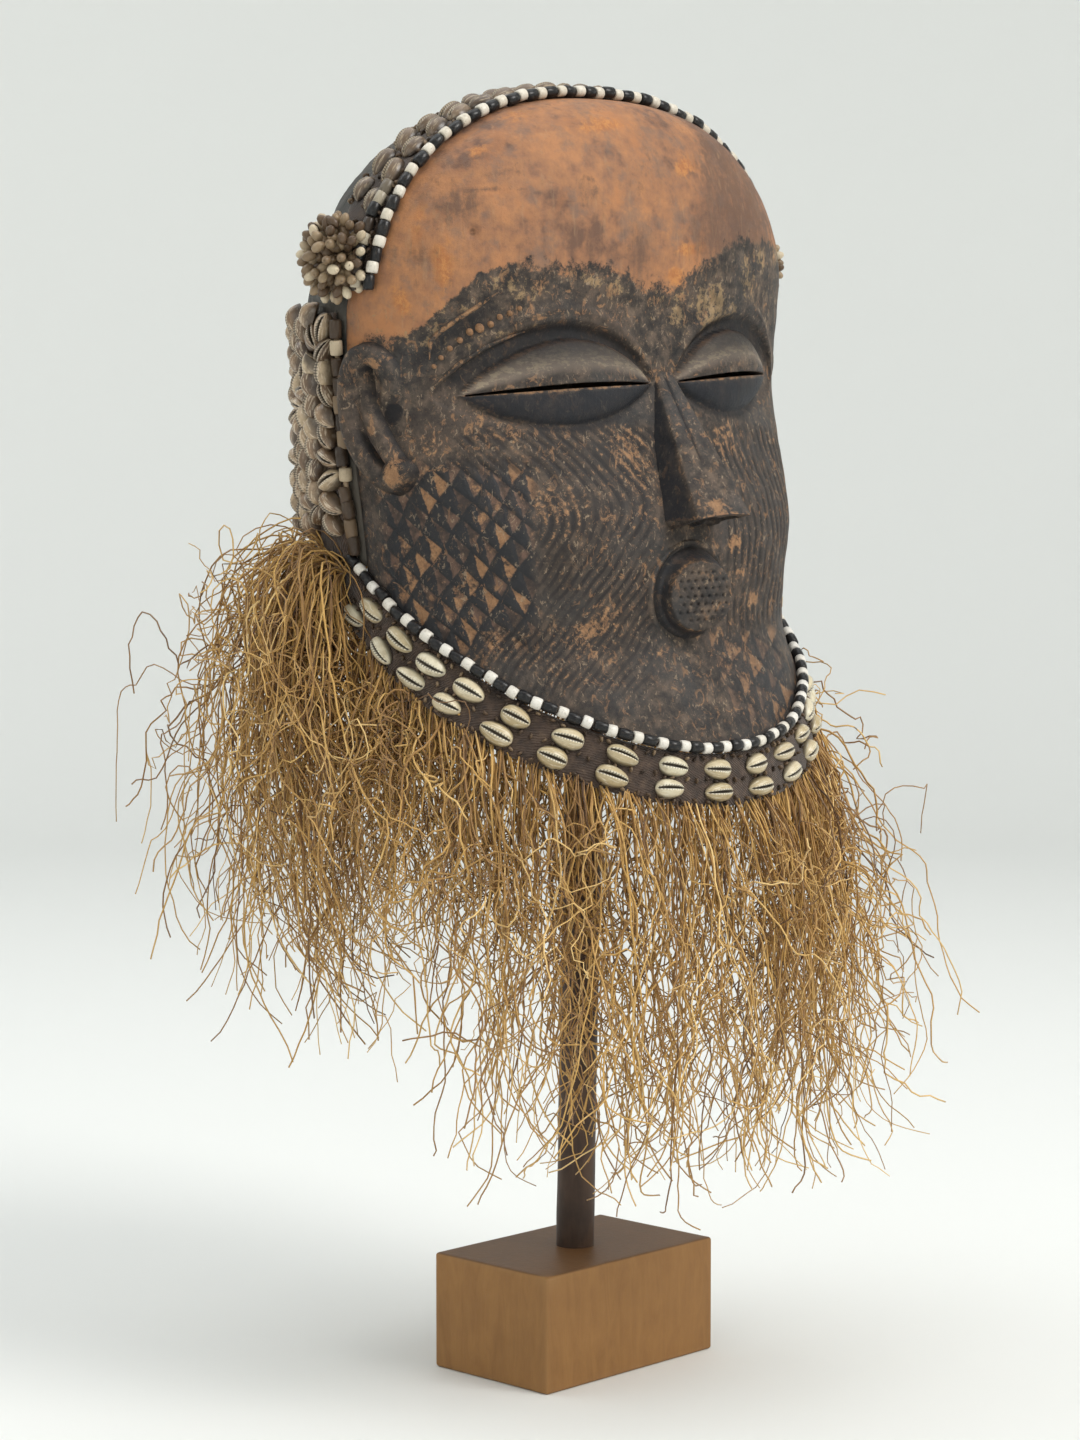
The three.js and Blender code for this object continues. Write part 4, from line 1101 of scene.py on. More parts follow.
class Nodes:
    """A material's node tree, built a step at a time."""

    def __init__(self, name):
        self.material = bpy.data.materials.new(name)
        self.material.use_nodes = True
        self.tree = self.material.node_tree
        self.tree.nodes.clear()
        self.place = self.add("TexCoord").outputs["Object"]

    def add(self, kind, inputs=None, **settings):
        """A node with its settings, and its inputs by name or number."""
        node = self.tree.nodes.new("ShaderNode" + kind)
        for key, value in settings.items():
            setattr(node, key, value)
        for key, value in (inputs or {}).items():
            if isinstance(value, bpy.types.NodeSocket):
                self.tree.links.new(value, node.inputs[key])
            else:
                node.inputs[key].default_value = value
        return node

    def noise(self, scale, detail=4.0, roughness=0.55, distortion=0.0, stretch=None, place=None):
        place = self.place if place is None else place
        if stretch is not None:
            place = self.add("Mapping", {"Scale": stretch, "Vector": place}).outputs["Vector"]
        return self.add("TexNoise", {"Scale": scale, "Detail": detail, "Roughness": roughness,
                                     "Distortion": distortion, "Vector": place}).outputs["Fac"]

    def split(self, vector):
        return self.add("SeparateXYZ", {0: vector}).outputs

    def value(self, name, width=1):
        node = self.add("Attribute", attribute_name=name)
        return node.outputs["Fac"] if width == 1 else self.split(node.outputs["Vector"])

    def math(self, operation, *values, clamp=False):
        node = self.add("Math", dict(enumerate(values)), operation=operation, use_clamp=clamp)
        return node.outputs[0]

    def times(self, first, second):
        return self.math("MULTIPLY", first, second)

    def off(self, value, size):
        """A noise about nothing instead of a half."""
        return self.times(self.math("SUBTRACT", value, 0.5), size)

    def step(self, value, low, high):
        return self.add("MapRange", {"Value": value, "From Min": low, "From Max": high},
                        interpolation_type="SMOOTHSTEP").outputs[0]

    def edged(self, amount, *noises, low, high):
        """An amount with ragged edges from a few kinds of noise."""
        for noise in noises:
            amount = self.math("ADD", amount, noise)
        return self.step(amount, low, high)

    def mix(self, share, first, second):
        first, second = ((*tint, 1.0) if isinstance(tint, tuple) else tint for tint in (first, second))
        return self.add("Mix", {0: share, 6: first, 7: second}, data_type="RGBA").outputs[2]

    def coats(self, colour, *coats):
        """Lays coats over a colour: how much of each there is, its strength and its colour."""
        for amount, strength, tint in coats:
            colour = self.mix(self.times(amount, strength), colour, tint)
        return colour

    def ramp(self, value, *stops):
        node = self.add("ValToRGB", {0: value})
        elements = node.color_ramp.elements
        while len(elements) < len(stops):
            elements.new(0.5)
        for element, (position, colour) in zip(elements, stops):
            element.position = position
            element.color = (*colour, 1.0)
        return node.outputs[0]

    def bumps(self, *layers):
        """The bumps of several heights, each with its strength and depth."""
        inputs = {}
        for height, strength, depth in layers:
            inputs.update(Height=height, Strength=strength, Distance=depth)
            inputs["Normal"] = self.add("Bump", inputs).outputs["Normal"]
        return inputs["Normal"]

    def finish(self, colour, roughness, normal=None, **settings):
        inputs = {name.replace("_", " "): value for name, value in settings.items()}
        inputs.update({"Base Color": colour, "Roughness": roughness})
        if normal is not None:
            inputs["Normal"] = normal
        shader = self.add("BsdfPrincipled", inputs)
        self.add("OutputMaterial", {"Surface": shader.outputs[0]})
        return self.material


def dark_paint(g, broad, middle, crumbs):
    dark = g.ramp(middle, (0.3, (0.015, 0.014, 0.014)), (0.5, (0.052, 0.041, 0.034)),
                  (0.72, (0.16, 0.115, 0.083)))
    return g.coats(dark, (g.step(broad, 0.5, 0.7), 0.6, (0.085, 0.063, 0.05)),
                   (g.step(g.noise(17, 3), 0.46, 0.6), 0.55, (0.05, 0.05, 0.051)),
                   (g.step(crumbs, 0.55, 0.64), 0.6, (0.15, 0.105, 0.075)),
                   (g.step(crumbs, 0.46, 0.38), 0.5, (0.016, 0.015, 0.016)))


def ochre_paint(g, stain, broad, middle, crumbs, streak):
    """The forehead's ochre, with orange stains, and brown stains with painted shade."""
    off, edged = g.off, g.edged
    earth = g.ramp(g.mix(0.5, middle, broad), (0.36, (0.15, 0.082, 0.055)),
                   (0.46, (0.29, 0.142, 0.077)), (0.58, (0.42, 0.195, 0.088)), (0.75, (0.27, 0.155, 0.10)))
    warm = g.step(g.noise(60, 3, 0.5, 0.8, stretch=(1, 1, 0.6)), 0.55, 0.72)
    orange = g.mix(g.step(crumbs, 0.42, 0.6), (0.36, 0.135, 0.05), (0.52, 0.23, 0.075))
    glowing = edged(stain[0], off(middle, 1.3), off(crumbs, 1.0), off(streak, 0.6), low=0.22, high=0.8)
    # The brown coat: stains, and painted shade at the forehead's near edge and top
    browned_and_shaded = edged(stain[1], off(middle, 1.6), off(streak, 1.2), off(crumbs, 1.4), low=0.2, high=1.0)
    return g.coats(earth, (warm, 0.5, (0.42, 0.18, 0.075)),
                   (g.step(g.noise(75, 5, 0.65), 0.5, 0.68), 0.55, (0.17, 0.12, 0.095)),
                   (glowing, 0.85, orange), (browned_and_shaded, 0.85, (0.12, 0.072, 0.052)),
                   (g.step(crumbs, 0.6, 0.72), 0.5, (0.11, 0.075, 0.06)),
                   (g.step(streak, 0.56, 0.75), 0.35, (0.44, 0.26, 0.14)))


def triangle_coats(g, pattern, zone, bare, between, middle, specks, crumbs):
    """The lattice of triangles: its sunk ground, its raised triangles and the worn ones."""
    off, edged, times = g.off, g.edged, g.times
    m, n = g.math("FRACT", pattern[0]), g.math("FRACT", pattern[1])
    cell = g.add("CombineXYZ", {k: g.math("FLOOR", pattern[k]) for k in (0, 1)})
    lot = g.add("TexWhiteNoise", {"Vector": cell.outputs[0]})
    inside = edged(g.math("SUBTRACT", m, n), off(middle, 0.5), off(crumbs, 0.25), low=0.03, high=0.11)
    rim = g.math("MINIMUM", g.math("SUBTRACT", 1.0, m), n)
    inside = times(inside, edged(rim, off(crumbs, 0.12), low=0.03, high=0.1))
    shown = times(times(inside, zone), g.step(specks, 0.25, 0.45))
    light = times(shown, edged(lot.outputs[0], off(crumbs, 0.9), off(middle, 0.9), low=0.62, high=0.8))
    sunk = g.math("SUBTRACT", zone, shown, clamp=True)
    checks = g.mix(between, (0.055, 0.038, 0.032), (0.17, 0.098, 0.068))
    return (sunk, 0.8, (0.02, 0.022, 0.026)), (shown, 0.7, checks), (light, 0.9, bare)


def line_coats(g, phase, zone, worn, bare, specks, crumbs):
    """The incised lines: dark furrows, and crests worn to the bare wood."""
    off, times = g.off, g.times
    crest = g.math("COSINE", times(phase, 6.28319))
    furrow = times(g.step(crest, 0.3, -0.8), zone)
    lines = g.edged(times(crest, 0.5), off(specks, 2.2), off(crumbs, 1.6), times(worn, 0.9),
                    low=0.6, high=0.98)
    return ((zone, 0.45, (0.055, 0.040, 0.031)), (furrow, 0.75, (0.017, 0.016, 0.017)),
            (times(lines, zone), 0.8, bare))


def scuff_coats(g, in_dark, bare, broad, middle):
    """Pale flecks and bare scuffs in the dark paint."""
    times = g.times
    small = g.step(g.noise(400, 5, 0.7, 1.0, stretch=(1.0, 1.0, 0.6)), 0.58, 0.64)
    small = times(times(small, in_dark), g.step(middle, 0.42, 0.54))
    scuffs = g.step(g.noise(210, 6, 0.7, 1.2, stretch=(1.0, 1.0, 0.7)), 0.56, 0.63)
    scuffs = times(times(scuffs, in_dark), g.step(broad, 0.36, 0.56))
    return (small, 0.7, (0.32, 0.235, 0.155)), (scuffs, 0.7, bare)


def pit_coat(g):
    """The painted shade of the small pit, by the distance from it."""
    place = np.array([PIT["x"], front_y(PIT["x"], PIT["z"]), PIT["z"]])
    pit = g.add("VectorMath", {0: g.place, 1: seated(place).tolist()}, operation="DISTANCE")
    start, full = np.array(PIT["dark"]) * MM
    return g.step(pit.outputs["Value"], start, full), 0.95, (0.008, 0.006, 0.006)


def painted_wood():
    """Dark paint with an ochre forehead, carved patterns and bare wood where it is worn."""
    g = Nodes("painted_wood")
    off, edged, times = g.off, g.edged, g.times
    zone, wear = g.value("zone", 3), g.value("wear", 3)
    pattern, stain = g.value("pattern", 3), g.value("stain", 3)
    broad, middle, fine = g.noise(28, 4), g.noise(140, 5, 0.6), g.noise(900, 4, 0.65)
    streak = g.noise(300, 4, 0.6, stretch=(1.0, 1.0, 0.16))
    specks, crumbs = g.noise(520, 5, 0.75, 0.6), g.noise(260, 6, 0.8, 0.3)
    bare = g.ramp(g.mix(0.4, crumbs, fine), (0.3, (0.13, 0.07, 0.04)), (0.48, (0.28, 0.15, 0.075)),
                  (0.58, (0.36, 0.20, 0.10)), (0.75, (0.46, 0.31, 0.17)))

    ochre = edged(zone[0], off(middle, 0.6), off(crumbs, 0.9), low=0.42, high=0.6)
    colour = g.mix(ochre, dark_paint(g, broad, middle, crumbs),
                   ochre_paint(g, stain, broad, middle, crumbs, streak))
    flecks = edged(times(stain[2], 0.42), off(crumbs, 1.3), off(streak, 0.5), low=0.3, high=0.42)
    between = g.step(middle, 0.4, 0.6)
    fleck_tint = g.mix(between, (0.19, 0.13, 0.07), (0.34, 0.23, 0.12))
    rubbed = edged(wear[1], off(specks, 1.7), off(crumbs, 1.9), off(middle, 0.6), low=0.52, high=0.84)
    # Pale patches on the upper lids: dust, and painted light from above
    dust_and_light_noise = g.noise(420, 5, 0.7, stretch=(0.5, 0.5, 1.6))
    dusty_and_lit = edged(times(wear[2], 0.5), off(dust_and_light_noise, 1.5), off(crumbs, 0.8), low=0.46, high=0.62)
    colour = g.coats(
        colour, (flecks, 0.8, fleck_tint),
        *triangle_coats(g, pattern, zone[1], bare, between, middle, specks, crumbs),
        *line_coats(g, pattern[2], zone[2], wear[1], bare, specks, crumbs),
        *scuff_coats(g, g.math("SUBTRACT", 1.0, ochre), bare, broad, middle), (rubbed, 0.8, bare),
        # Blue-black paint and painted shade on the lower lids and the nose's near wall, and painted shade
        # on the mouth drum's side; then the upper lids' pale of dust and painted light
        (g.value("blue"), 0.85, (0.014, 0.016, 0.021)), (wear[2], 0.78, (0.24, 0.19, 0.15)),
        # Near black: painted shade in hollows, creases and holes and on the inner wall, and the dark brow
        # band and nose line
        (dusty_and_lit, 0.65, (0.36, 0.29, 0.20)), (wear[0], 0.88, (0.009, 0.009, 0.011)), pit_coat(g))

    gloss = g.add("MapRange", {"Value": middle, "To Min": 0.42, "To Max": 0.66})
    normal = g.bumps((fine, 0.35, 0.0006), (streak, 0.3, 0.0012), (crumbs, 0.4, 0.0012))
    return g.finish(colour, gloss.outputs[0], normal, Specular_IOR_Level=0.22)


def hide():
    """Creased dark hide."""
    g = Nodes("hide")
    broad, middle = g.noise(22, 4), g.noise(160, 5, 0.6)
    creases = g.noise(45, 6, 0.65, 1.5, stretch=(1.0, 1.0, 0.35))
    grain = g.add("TexVoronoi", {"Scale": 750, "Vector": g.place}, feature="DISTANCE_TO_EDGE")
    colour = g.ramp(middle, (0.3, (0.026, 0.025, 0.023)), (0.55, (0.05, 0.047, 0.041)),
                    (0.8, (0.095, 0.085, 0.07)))
    colour = g.mix(g.step(broad, 0.5, 0.75), colour, (0.08, 0.068, 0.054))
    colour = g.mix(g.step(creases, 0.56, 0.7), colour, (0.035, 0.032, 0.03))
    normal = g.bumps((creases, 0.8, 0.003), (grain.outputs["Distance"], 0.35, 0.0004))
    return g.finish(colour, 0.6, normal, Specular_IOR_Level=0.3)


def cloth():
    """Coarse dark woven cloth."""
    g = Nodes("coarse_cloth")
    middle = g.noise(220, 5, 0.65)
    weave = g.add("TexWave", {"Scale": 420, "Distortion": 1.5, "Vector": g.place},
                  wave_type="BANDS", bands_direction="DIAGONAL")
    colour = g.ramp(middle, (0.3, (0.022, 0.014, 0.010)), (0.55, (0.062, 0.038, 0.026)),
                    (0.8, (0.13, 0.085, 0.055)))
    normal = g.bumps((weave.outputs["Fac"], 0.5, 0.0006), (middle, 0.4, 0.001))
    return g.finish(colour, 0.9, normal, Sheen_Weight=0.25)


def shell_material(name, body, pale, slit, streaked, open_half=0.12, edge=0.8):
    """Cowries: a tone for each shell, streaks along it, a toothed slit and painted shade on its low sides
    towards the rim.
    """
    g = Nodes(name)
    times, step = g.times, g.step
    tone, spot = g.value("tone"), g.value("spot", 3)
    middle, fine = g.noise(260, 5, 0.6), g.noise(1400, 3)
    own = g.add("CombineXYZ", {0: times(spot[0], 0.9), 1: times(spot[1], 4.5), 2: times(tone, 40.0)})
    streaks = step(g.noise(1.6, 3, 0.6, 0.4, place=own.outputs[0]), 0.5, 0.66)
    away, from_middle = g.math("ABSOLUTE", spot[1]), g.math("ABSOLUTE", spot[0])
    lips = times(step(away, 0.36, 0.2), step(away, 0.07, 0.13))
    teeth = times(lips, step(g.math("COSINE", times(spot[0], 36.0)), -0.1, 0.7))
    gap = times(step(away, open_half * 1.3, open_half * 0.6), step(from_middle, 0.98, 0.86))
    colour = g.ramp(tone, (0.0, body[0]), (0.5, body[1]), (1.0, body[2]))
    # The coat near the rim is painted shade between the shells
    colour = g.coats(colour, (step(middle, 0.4, 0.7), 0.5, body[0]), (streaks, streaked, pale),
                     (lips, 0.75, pale), (teeth, 0.7, slit), (gap, 0.92, slit),
                     (step(away, edge, 1.0), 0.8, slit), (step(fine, 0.55, 0.75), 0.25, slit))
    normal = g.bumps((fine, 0.15, 0.0003), (teeth, -0.5, 0.0004))
    return g.finish(colour, 0.34, normal, Coat_Weight=0.2, Coat_Roughness=0.25)


def bead_material(name, *stops):
    """Beads: the tone of each picks its glaze."""
    g = Nodes(name)
    fine = g.noise(900, 4, 0.6)
    dirt = (g.step(fine, 0.5, 0.75), 0.35, (0.12, 0.09, 0.065))
    colour = g.coats(g.ramp(g.value("tone"), *stops), dirt)
    return g.finish(colour, 0.3, g.bumps((fine, 0.12, 0.0003)), Specular_IOR_Level=0.3)


def raffia():
    """Raffia: a tone for each fibre."""
    g = Nodes("raffia_fibre")
    tone = g.math("ADD", g.value("tone"), g.off(g.noise(120, 3), 0.5))
    colour = g.ramp(tone, (0.0, (0.10, 0.044, 0.014)), (0.33, (0.33, 0.172, 0.05)),
                    (0.65, (0.59, 0.345, 0.092)), (0.98, (0.84, 0.58, 0.235)))
    normal = g.bumps((g.noise(1500, 2), 0.2, 0.0003))
    return g.finish(colour, 0.62, normal, Sheen_Weight=0.15)


def stand_wood(name, stops, worn, grain_scale, top=None):
    """Plain wood with its grain upright, darker on its top where that is given."""
    g = Nodes(name)
    stretch = (1.0, 1.0, 0.2)
    grain = g.noise(grain_scale, 6, 0.62, 1.2, stretch=stretch)
    colour = g.ramp(g.mix(0.35, grain, g.noise(60, 5, 0.6)), *stops)
    colour = g.coats(colour, (g.value("worn"), 0.8, worn))
    # The top is painted darker: dirt, and painted shadow of the mask and raffia
    if top is not None:
        on_top = g.step(g.split(g.place)["Z"], top - 0.0007, top - 0.0002)
        colour = g.coats(colour, (on_top, 0.62, (0.085, 0.042, 0.022)))
    pores = g.noise(grain_scale * 3.2, 4, 0.7, stretch=stretch)
    return g.finish(colour, 0.5, g.bumps((pores, 0.3, 0.0006)), Specular_IOR_Level=0.3)


WOOD = painted_wood()
HIDE = hide()
CLOTH = cloth()
RAFFIA = raffia()

# Shells: three tones of the body, the pale lips, the slit, how streaked, the slit's half width and
# where the painted shade begins towards the edge
OLD_SHELL = shell_material(
    "browned_shell", ((0.075, 0.048, 0.03), (0.14, 0.093, 0.058), (0.24, 0.17, 0.11)),
    (0.46, 0.37, 0.25), (0.02, 0.013, 0.009), 0.6)
SIDE_SHELL = shell_material(
    "bronzed_shell", ((0.10, 0.058, 0.033), (0.31, 0.20, 0.115), (0.60, 0.47, 0.31)),
    (0.80, 0.67, 0.50), (0.018, 0.010, 0.006), 0.65, 0.19, 0.5)
NEW_SHELL = shell_material(
    "cream_shell", ((0.45, 0.35, 0.19), (0.62, 0.52, 0.34), (0.74, 0.68, 0.51)),
    (0.82, 0.77, 0.62), (0.035, 0.021, 0.013), 0.55, 0.15, 0.72)

# Beads: glazes by tone
BEADS = bead_material(
    "glazed_beads", (0.0, (0.012, 0.012, 0.013)), (0.3, (0.02, 0.02, 0.02)),
    (0.5, (0.05, 0.035, 0.025)), (0.75, (0.56, 0.49, 0.37)), (1.0, (0.80, 0.77, 0.71)))
SEEDS = bead_material(
    "seed_beads", (0.0, (0.03, 0.02, 0.014)), (0.35, (0.11, 0.07, 0.042)),
    (0.6, (0.30, 0.215, 0.13)), (1.0, (0.68, 0.58, 0.42)))


# Pieces of the mask

WOOD_CHANNELS = dict(zone=3, wear=3, pattern=3, stain=3, blue=1)


def make_wood():
    for name, make in (("carved_face", wooden_face), ("carved_nose", nose), ("carved_mouth", mouth_drum),
                       ("carved_ear_right", lambda: ear(-1)), ("carved_ear_left", lambda: ear(1))):
        shape = Shape(**WOOD_CHANNELS)
        points, faces, values = make()
        shape.add(points, faces, **values)
        if name == "carved_face":
            add_brow(shape)
        crisp = 55 if name == "carved_nose" else None
        object_of(name, shape, WOOD, "wooden_mask", crisp=crisp)


def make_hood():
    """A hide cap with soft folds, a stitched hem and a seam down its back."""
    share = np.linspace(0, 1, HOOD["rows"])
    angle = (np.pi / 2) * (share - HOOD["straight"]) / (1 - HOOD["straight"])
    degrees = np.linspace(90, 270, HOOD["columns"])

    def skin(inset):
        top = DOME["top"] - inset - DOME["foot"]
        rise = np.sin(np.clip(angle, 0, None)) ** DOME_ROWS
        upright = blend(HOOD["hem"], DOME["foot"], share / HOOD["straight"])
        z = np.where(share <= HOOD["straight"], upright, DOME["foot"] + top * rise)[:, None]
        points = ring(z, degrees[None], inset)
        points[..., 1] = np.maximum(points[..., 1], section(z)[4]) + HOOD["gap"]
        return points

    outer, inner = skin(0.0), skin(HOOD_WALL)
    x, z = outer[..., 0], outer[..., 2]
    fade = smooth_step(np.sin(np.radians(degrees - 90)), 0, 0.25)[None]
    fade = fade * smooth_step(DOME["top"] - z, 2, 30)
    folds = 0.9 * wobble(outer * [1, 1, 0.35], 34, 21) + 0.4 * wobble(outer, 12, 22)
    hem = 0.9 * bell(z, HOOD["hem"] + 6, 2.5) - 0.7 * bell(z, HOOD["hem"] + 10, 1.5)
    seam = -1.0 * bell(x, 0, 2.0) + 0.7 * bell(np.abs(x), 4.5, 2.0)
    height = (folds * 0.9 + seam) * fade + hem * (fade > 0.5) - 0.9 * fade
    shape = Shape()
    shape.add(*slab(outer + height[..., None] * outward(outer), inner))
    object_of("fitted_hood", shape, HIDE, "hood")


def add_strip(name, node, points_at, cells, thick, seed):
    """A strip of cloth, slightly puckered: points_at(u, v, height) lies that high over the wood."""
    u, v = np.linspace(0, 1, cells[0])[:, None], np.linspace(0, 1, cells[1])[None]
    flat = points_at(u, v, np.zeros(cells))
    puckers = 0.35 * wobble(flat, 7, seed) + 0.25 * wobble(flat, 3.5, seed + 1)
    near_side, near_end = np.minimum(v, 1 - v) * cells[1] / 3, np.minimum(u, 1 - u) * cells[0] / 3
    edge = np.minimum(near_side, 1) * np.minimum(near_end, 1)
    upper = points_at(u, v, thick + puckers * 0.6 - 0.8 * (1 - edge))
    shape = Shape()
    shape.add(*slab(upper, flat))
    strip = object_of(name, shape, CLOTH, node)


def add_seeds(shape, foot, up, size, dice):
    """Seed beads, each turned its own way."""
    count = len(foot)
    axes = frames_on(unit(dice.normal(size=(count, 3))), up) * size
    shape.add_copies(round_bead(), foot, axes, tone=dice.uniform(0, 0.5, count))


def make_headband(dice):
    """The arch over the crown: a cloth strip, two rows of cowries, seed beads and a bead string."""
    spread, wide = ARCH["spread"], ARCH["width"]

    def cloth_at(u, v, height):
        degrees, behind = np.broadcast_arrays(blend(-spread, spread, u), blend(0.4, wide, v))
        return lifted(arch_point(degrees, behind), 0.5 + height)

    arch = arch_point(np.linspace(-spread, spread, 150), wide / 2)
    add_strip("headband_strip", "headband_cloth", cloth_at, (150, 18), ARCH["cloth"], 31)

    shells, seeds = Shape(tone=1, spot=3), Shape(tone=1)
    count = 20
    for column, behind in ((0, 0.28), (1, 0.76)):
        share = (np.arange(count) + 0.5 + 0.5 * column) / (count + 0.5)
        degrees = blend(-ARCH["shells"], ARCH["shells"], share)
        foot, ahead = arch_point(degrees, behind * wide), arch_point(degrees + 0.5, behind * wide)
        up = outward(foot)
        middles = foot + ARCH["shell_up"] * up
        add_shells(shells, middles, ahead - foot, up, dice, (0.95, 0.98, 1.05), 0.2)
    count = 75
    for behind in (0.04, 0.52, 0.98):
        degrees = np.linspace(-spread + 2, spread - 2, count) + dice.normal(0, 0.6, count)
        foot = arch_point(degrees, behind * wide + dice.normal(0, 0.7, count))
        up = outward(foot)
        add_seeds(seeds, foot + ARCH["seed_up"] * up, up, ARCH["seed"], dice)
    object_of("headband_cowries", shells, OLD_SHELL, "headband_shells")
    object_of("headband_seed_beads", seeds, SEEDS, "headband_shells")

    string = Shape(tone=1)
    line = lifted(arch_point(np.linspace(-spread, spread, 160), -BEAD - 0.2), BEAD + 0.5)
    add_string(string, line, ARCH["bead_pitch"], BEAD, dice, [0.05, 0.84])
    for side in (-1, 1):
        line = lifted(arch_point(np.linspace(66, spread, 12) * side, BEAD * 1.4), BEAD + 2.0)
        add_string(string, line, ARCH["bead_pitch"], BEAD, dice, [0.5, 0.7, 0.1])
    object_of("headband_bead_string", string, BEADS, "headband_beads")


def make_rosette(side, word, dice):
    """A round tuft of short strands that stand out from the end of the headband."""
    centre = leave(np.array([0.0, ROSETTE["y"], ROSETTE["z"]]), np.array([side, 0.04, 0]))
    shape = Shape(tone=1)
    count, beads = ROSETTE["strands"], 3
    turn = np.arange(count) * np.pi * (3 - 5 ** 0.5)
    share = (np.arange(count) + 0.5) / count
    polar = np.arccos(1 - 1.08 * share)[:, None]
    around = packed(0, np.cos(turn), np.sin(turn))
    out = np.array([side, 0, 0])
    lean = unit(out * np.cos(polar) + around * np.sin(polar) + dice.normal(0, 0.07, (count, 3)))
    foot = centre + out * ROSETTE["foot"] + around * (ROSETTE["crown"] * np.sin(polar))
    pale = dice.random(count) < 0.35 + 0.3 * (share > 0.7)
    for step in range(beads):
        reach = ROSETTE["first"] + step * ROSETTE["pitch"]
        middles = foot + lean * reach + dice.normal(0, 0.4, (count, 3))
        way = unit(lean + dice.normal(0, 0.3, (count, 3)))
        axes = frames_on(way, unit(np.cross(way, around + [0.1, 0.2, 0.3])))
        sizes = np.array([ROSETTE["long"], ROSETTE["bead"], ROSETTE["bead"]])
        sizes = sizes * dice.uniform(0.88, 1.05, (count, 1))
        at_tip = pale & (step == beads - 1)
        tone = np.where(at_tip, dice.uniform(0.72, 0.95, count), dice.uniform(0.3, 0.68, count))
        shape.add_copies(oval_bead(), middles, axes * sizes[..., None], tone=tone)
    share = np.linspace(0, 1, 9)[:, None]
    angle = np.linspace(0, 2 * np.pi, 25)[None]
    away = share * ROSETTE["patch"]
    rise = side * (4.6 + 2.2 * np.sqrt(1 - 0.9 * share ** 2))
    disc = centre + packed(rise, away * np.cos(angle), away * np.sin(angle))
    shape.add(*slab(disc, disc - out * 3.5), tone=0.05)
    object_of(f"bead_rosette_{word}", shape, SEEDS, f"rosette_{word}")


def make_panel(side, word, dice):
    """The panel at the side of the hood: a cloth strip, columns of cowries and a bead string."""
    start, stop, low, high = (PANEL[name] for name in ("start", "stop", "bottom", "top"))

    def cloth_at(u, v, height):
        z, arc, height = np.broadcast_arrays(blend(low - 3, high + 3, u), blend(start, stop, v), height)
        return panel_point(side, z, arc, 0.5 + height)

    add_strip(f"side_panel_strip_{word}", f"side_panel_{word}", cloth_at, (60, 40), PANEL["cloth"],
              41 + side)

    shells = Shape(tone=1, spot=3)
    rows = PANEL["rows"]
    for column in range(PANEL["columns"]):
        shift = 0.5 if column % 2 else 0.0
        z = blend(low + 10, high + 5, (np.arange(rows) + 0.35 + shift) / (rows + 0.2))
        arc = start + 1 + (column + 0.5) * PANEL["pitch"] + dice.normal(0, 0.5, rows)
        foot = panel_point(side, z, arc, PANEL["shell_up"])
        add_shells(shells, foot, np.tile([0.0, 0.0, 1.0], (rows, 1)), outward(foot), dice,
                   (0.9, 0.98, 1.5), 0.42)
    object_of(f"side_panel_cowries_{word}", shells, SIDE_SHELL, f"side_shells_{word}")

    string = Shape(tone=1)
    line = panel_point(side, np.linspace(low - 1, high - 1, 40), PANEL["string"], 3.6)
    tones = [0.05, 0.42, 0.1, 0.16, 0.8, 0.08, 0.5]
    add_string(string, line, PANEL["bead_pitch"], PANEL["bead"], dice, tones, 0.5)
    object_of(f"side_panel_bead_string_{word}", string, SEEDS, f"side_beads_{word}")


def make_jaw(dice):
    """The band under the jaw line: a cloth strip, two rows of cowries, seed beads and a bead string."""
    span = JAW["span"] + JAW["tuck"]

    def cloth_at(u, v, height):
        degrees, down, height = np.broadcast_arrays(blend(-span, span, u), blend(1.0, JAW["band"], v),
                                                    height)
        return band_point(degrees, down, height - 0.4)

    middle = band_point(np.linspace(-span, span, 170), JAW["band"] / 2, 0)
    add_strip("jaw_band_strip", "jaw_band", cloth_at, (170, 20), JAW["cloth"], 51)

    count = 18
    for word, down, inset in (("upper", 8.2, 4), ("lower", 18.6, 1)):
        shells = Shape(tone=1, spot=3)
        degrees = blend(-span + inset, span - inset, (np.arange(count) + 0.5) / count)
        foot, ahead = (band_point(at, down, JAW["shell_up"]) for at in (degrees, degrees + 0.5))
        add_shells(shells, foot, ahead - foot, outward(jaw_point(degrees)), dice, (1.0, 0.98, 0.95), 0.1)
        object_of(f"jaw_cowries_{word}", shells, NEW_SHELL, f"jaw_shells_{word}")

    seeds = Shape(tone=1)
    count = 84
    for down in (13.2, 22.8, 3.6):
        degrees = np.linspace(-span + 2, span - 2, count) + dice.normal(0, 0.3, count)
        foot = band_point(degrees, down + dice.normal(0, 0.5, count), JAW["seed_up"])
        add_seeds(seeds, foot, outward(jaw_point(degrees)), JAW["seed"], dice)
    object_of("jaw_seed_beads", seeds, SEEDS, "jaw_band")

    string = Shape(tone=1)
    line = band_point(np.linspace(-span + 1, span - 1, 160), -1.5, BEAD + 0.6)
    add_string(string, line, JAW["bead_pitch"], BEAD, dice, [0.05, 0.95])
    object_of("jaw_bead_string", string, BEADS, "jaw_beads")


# Raffia

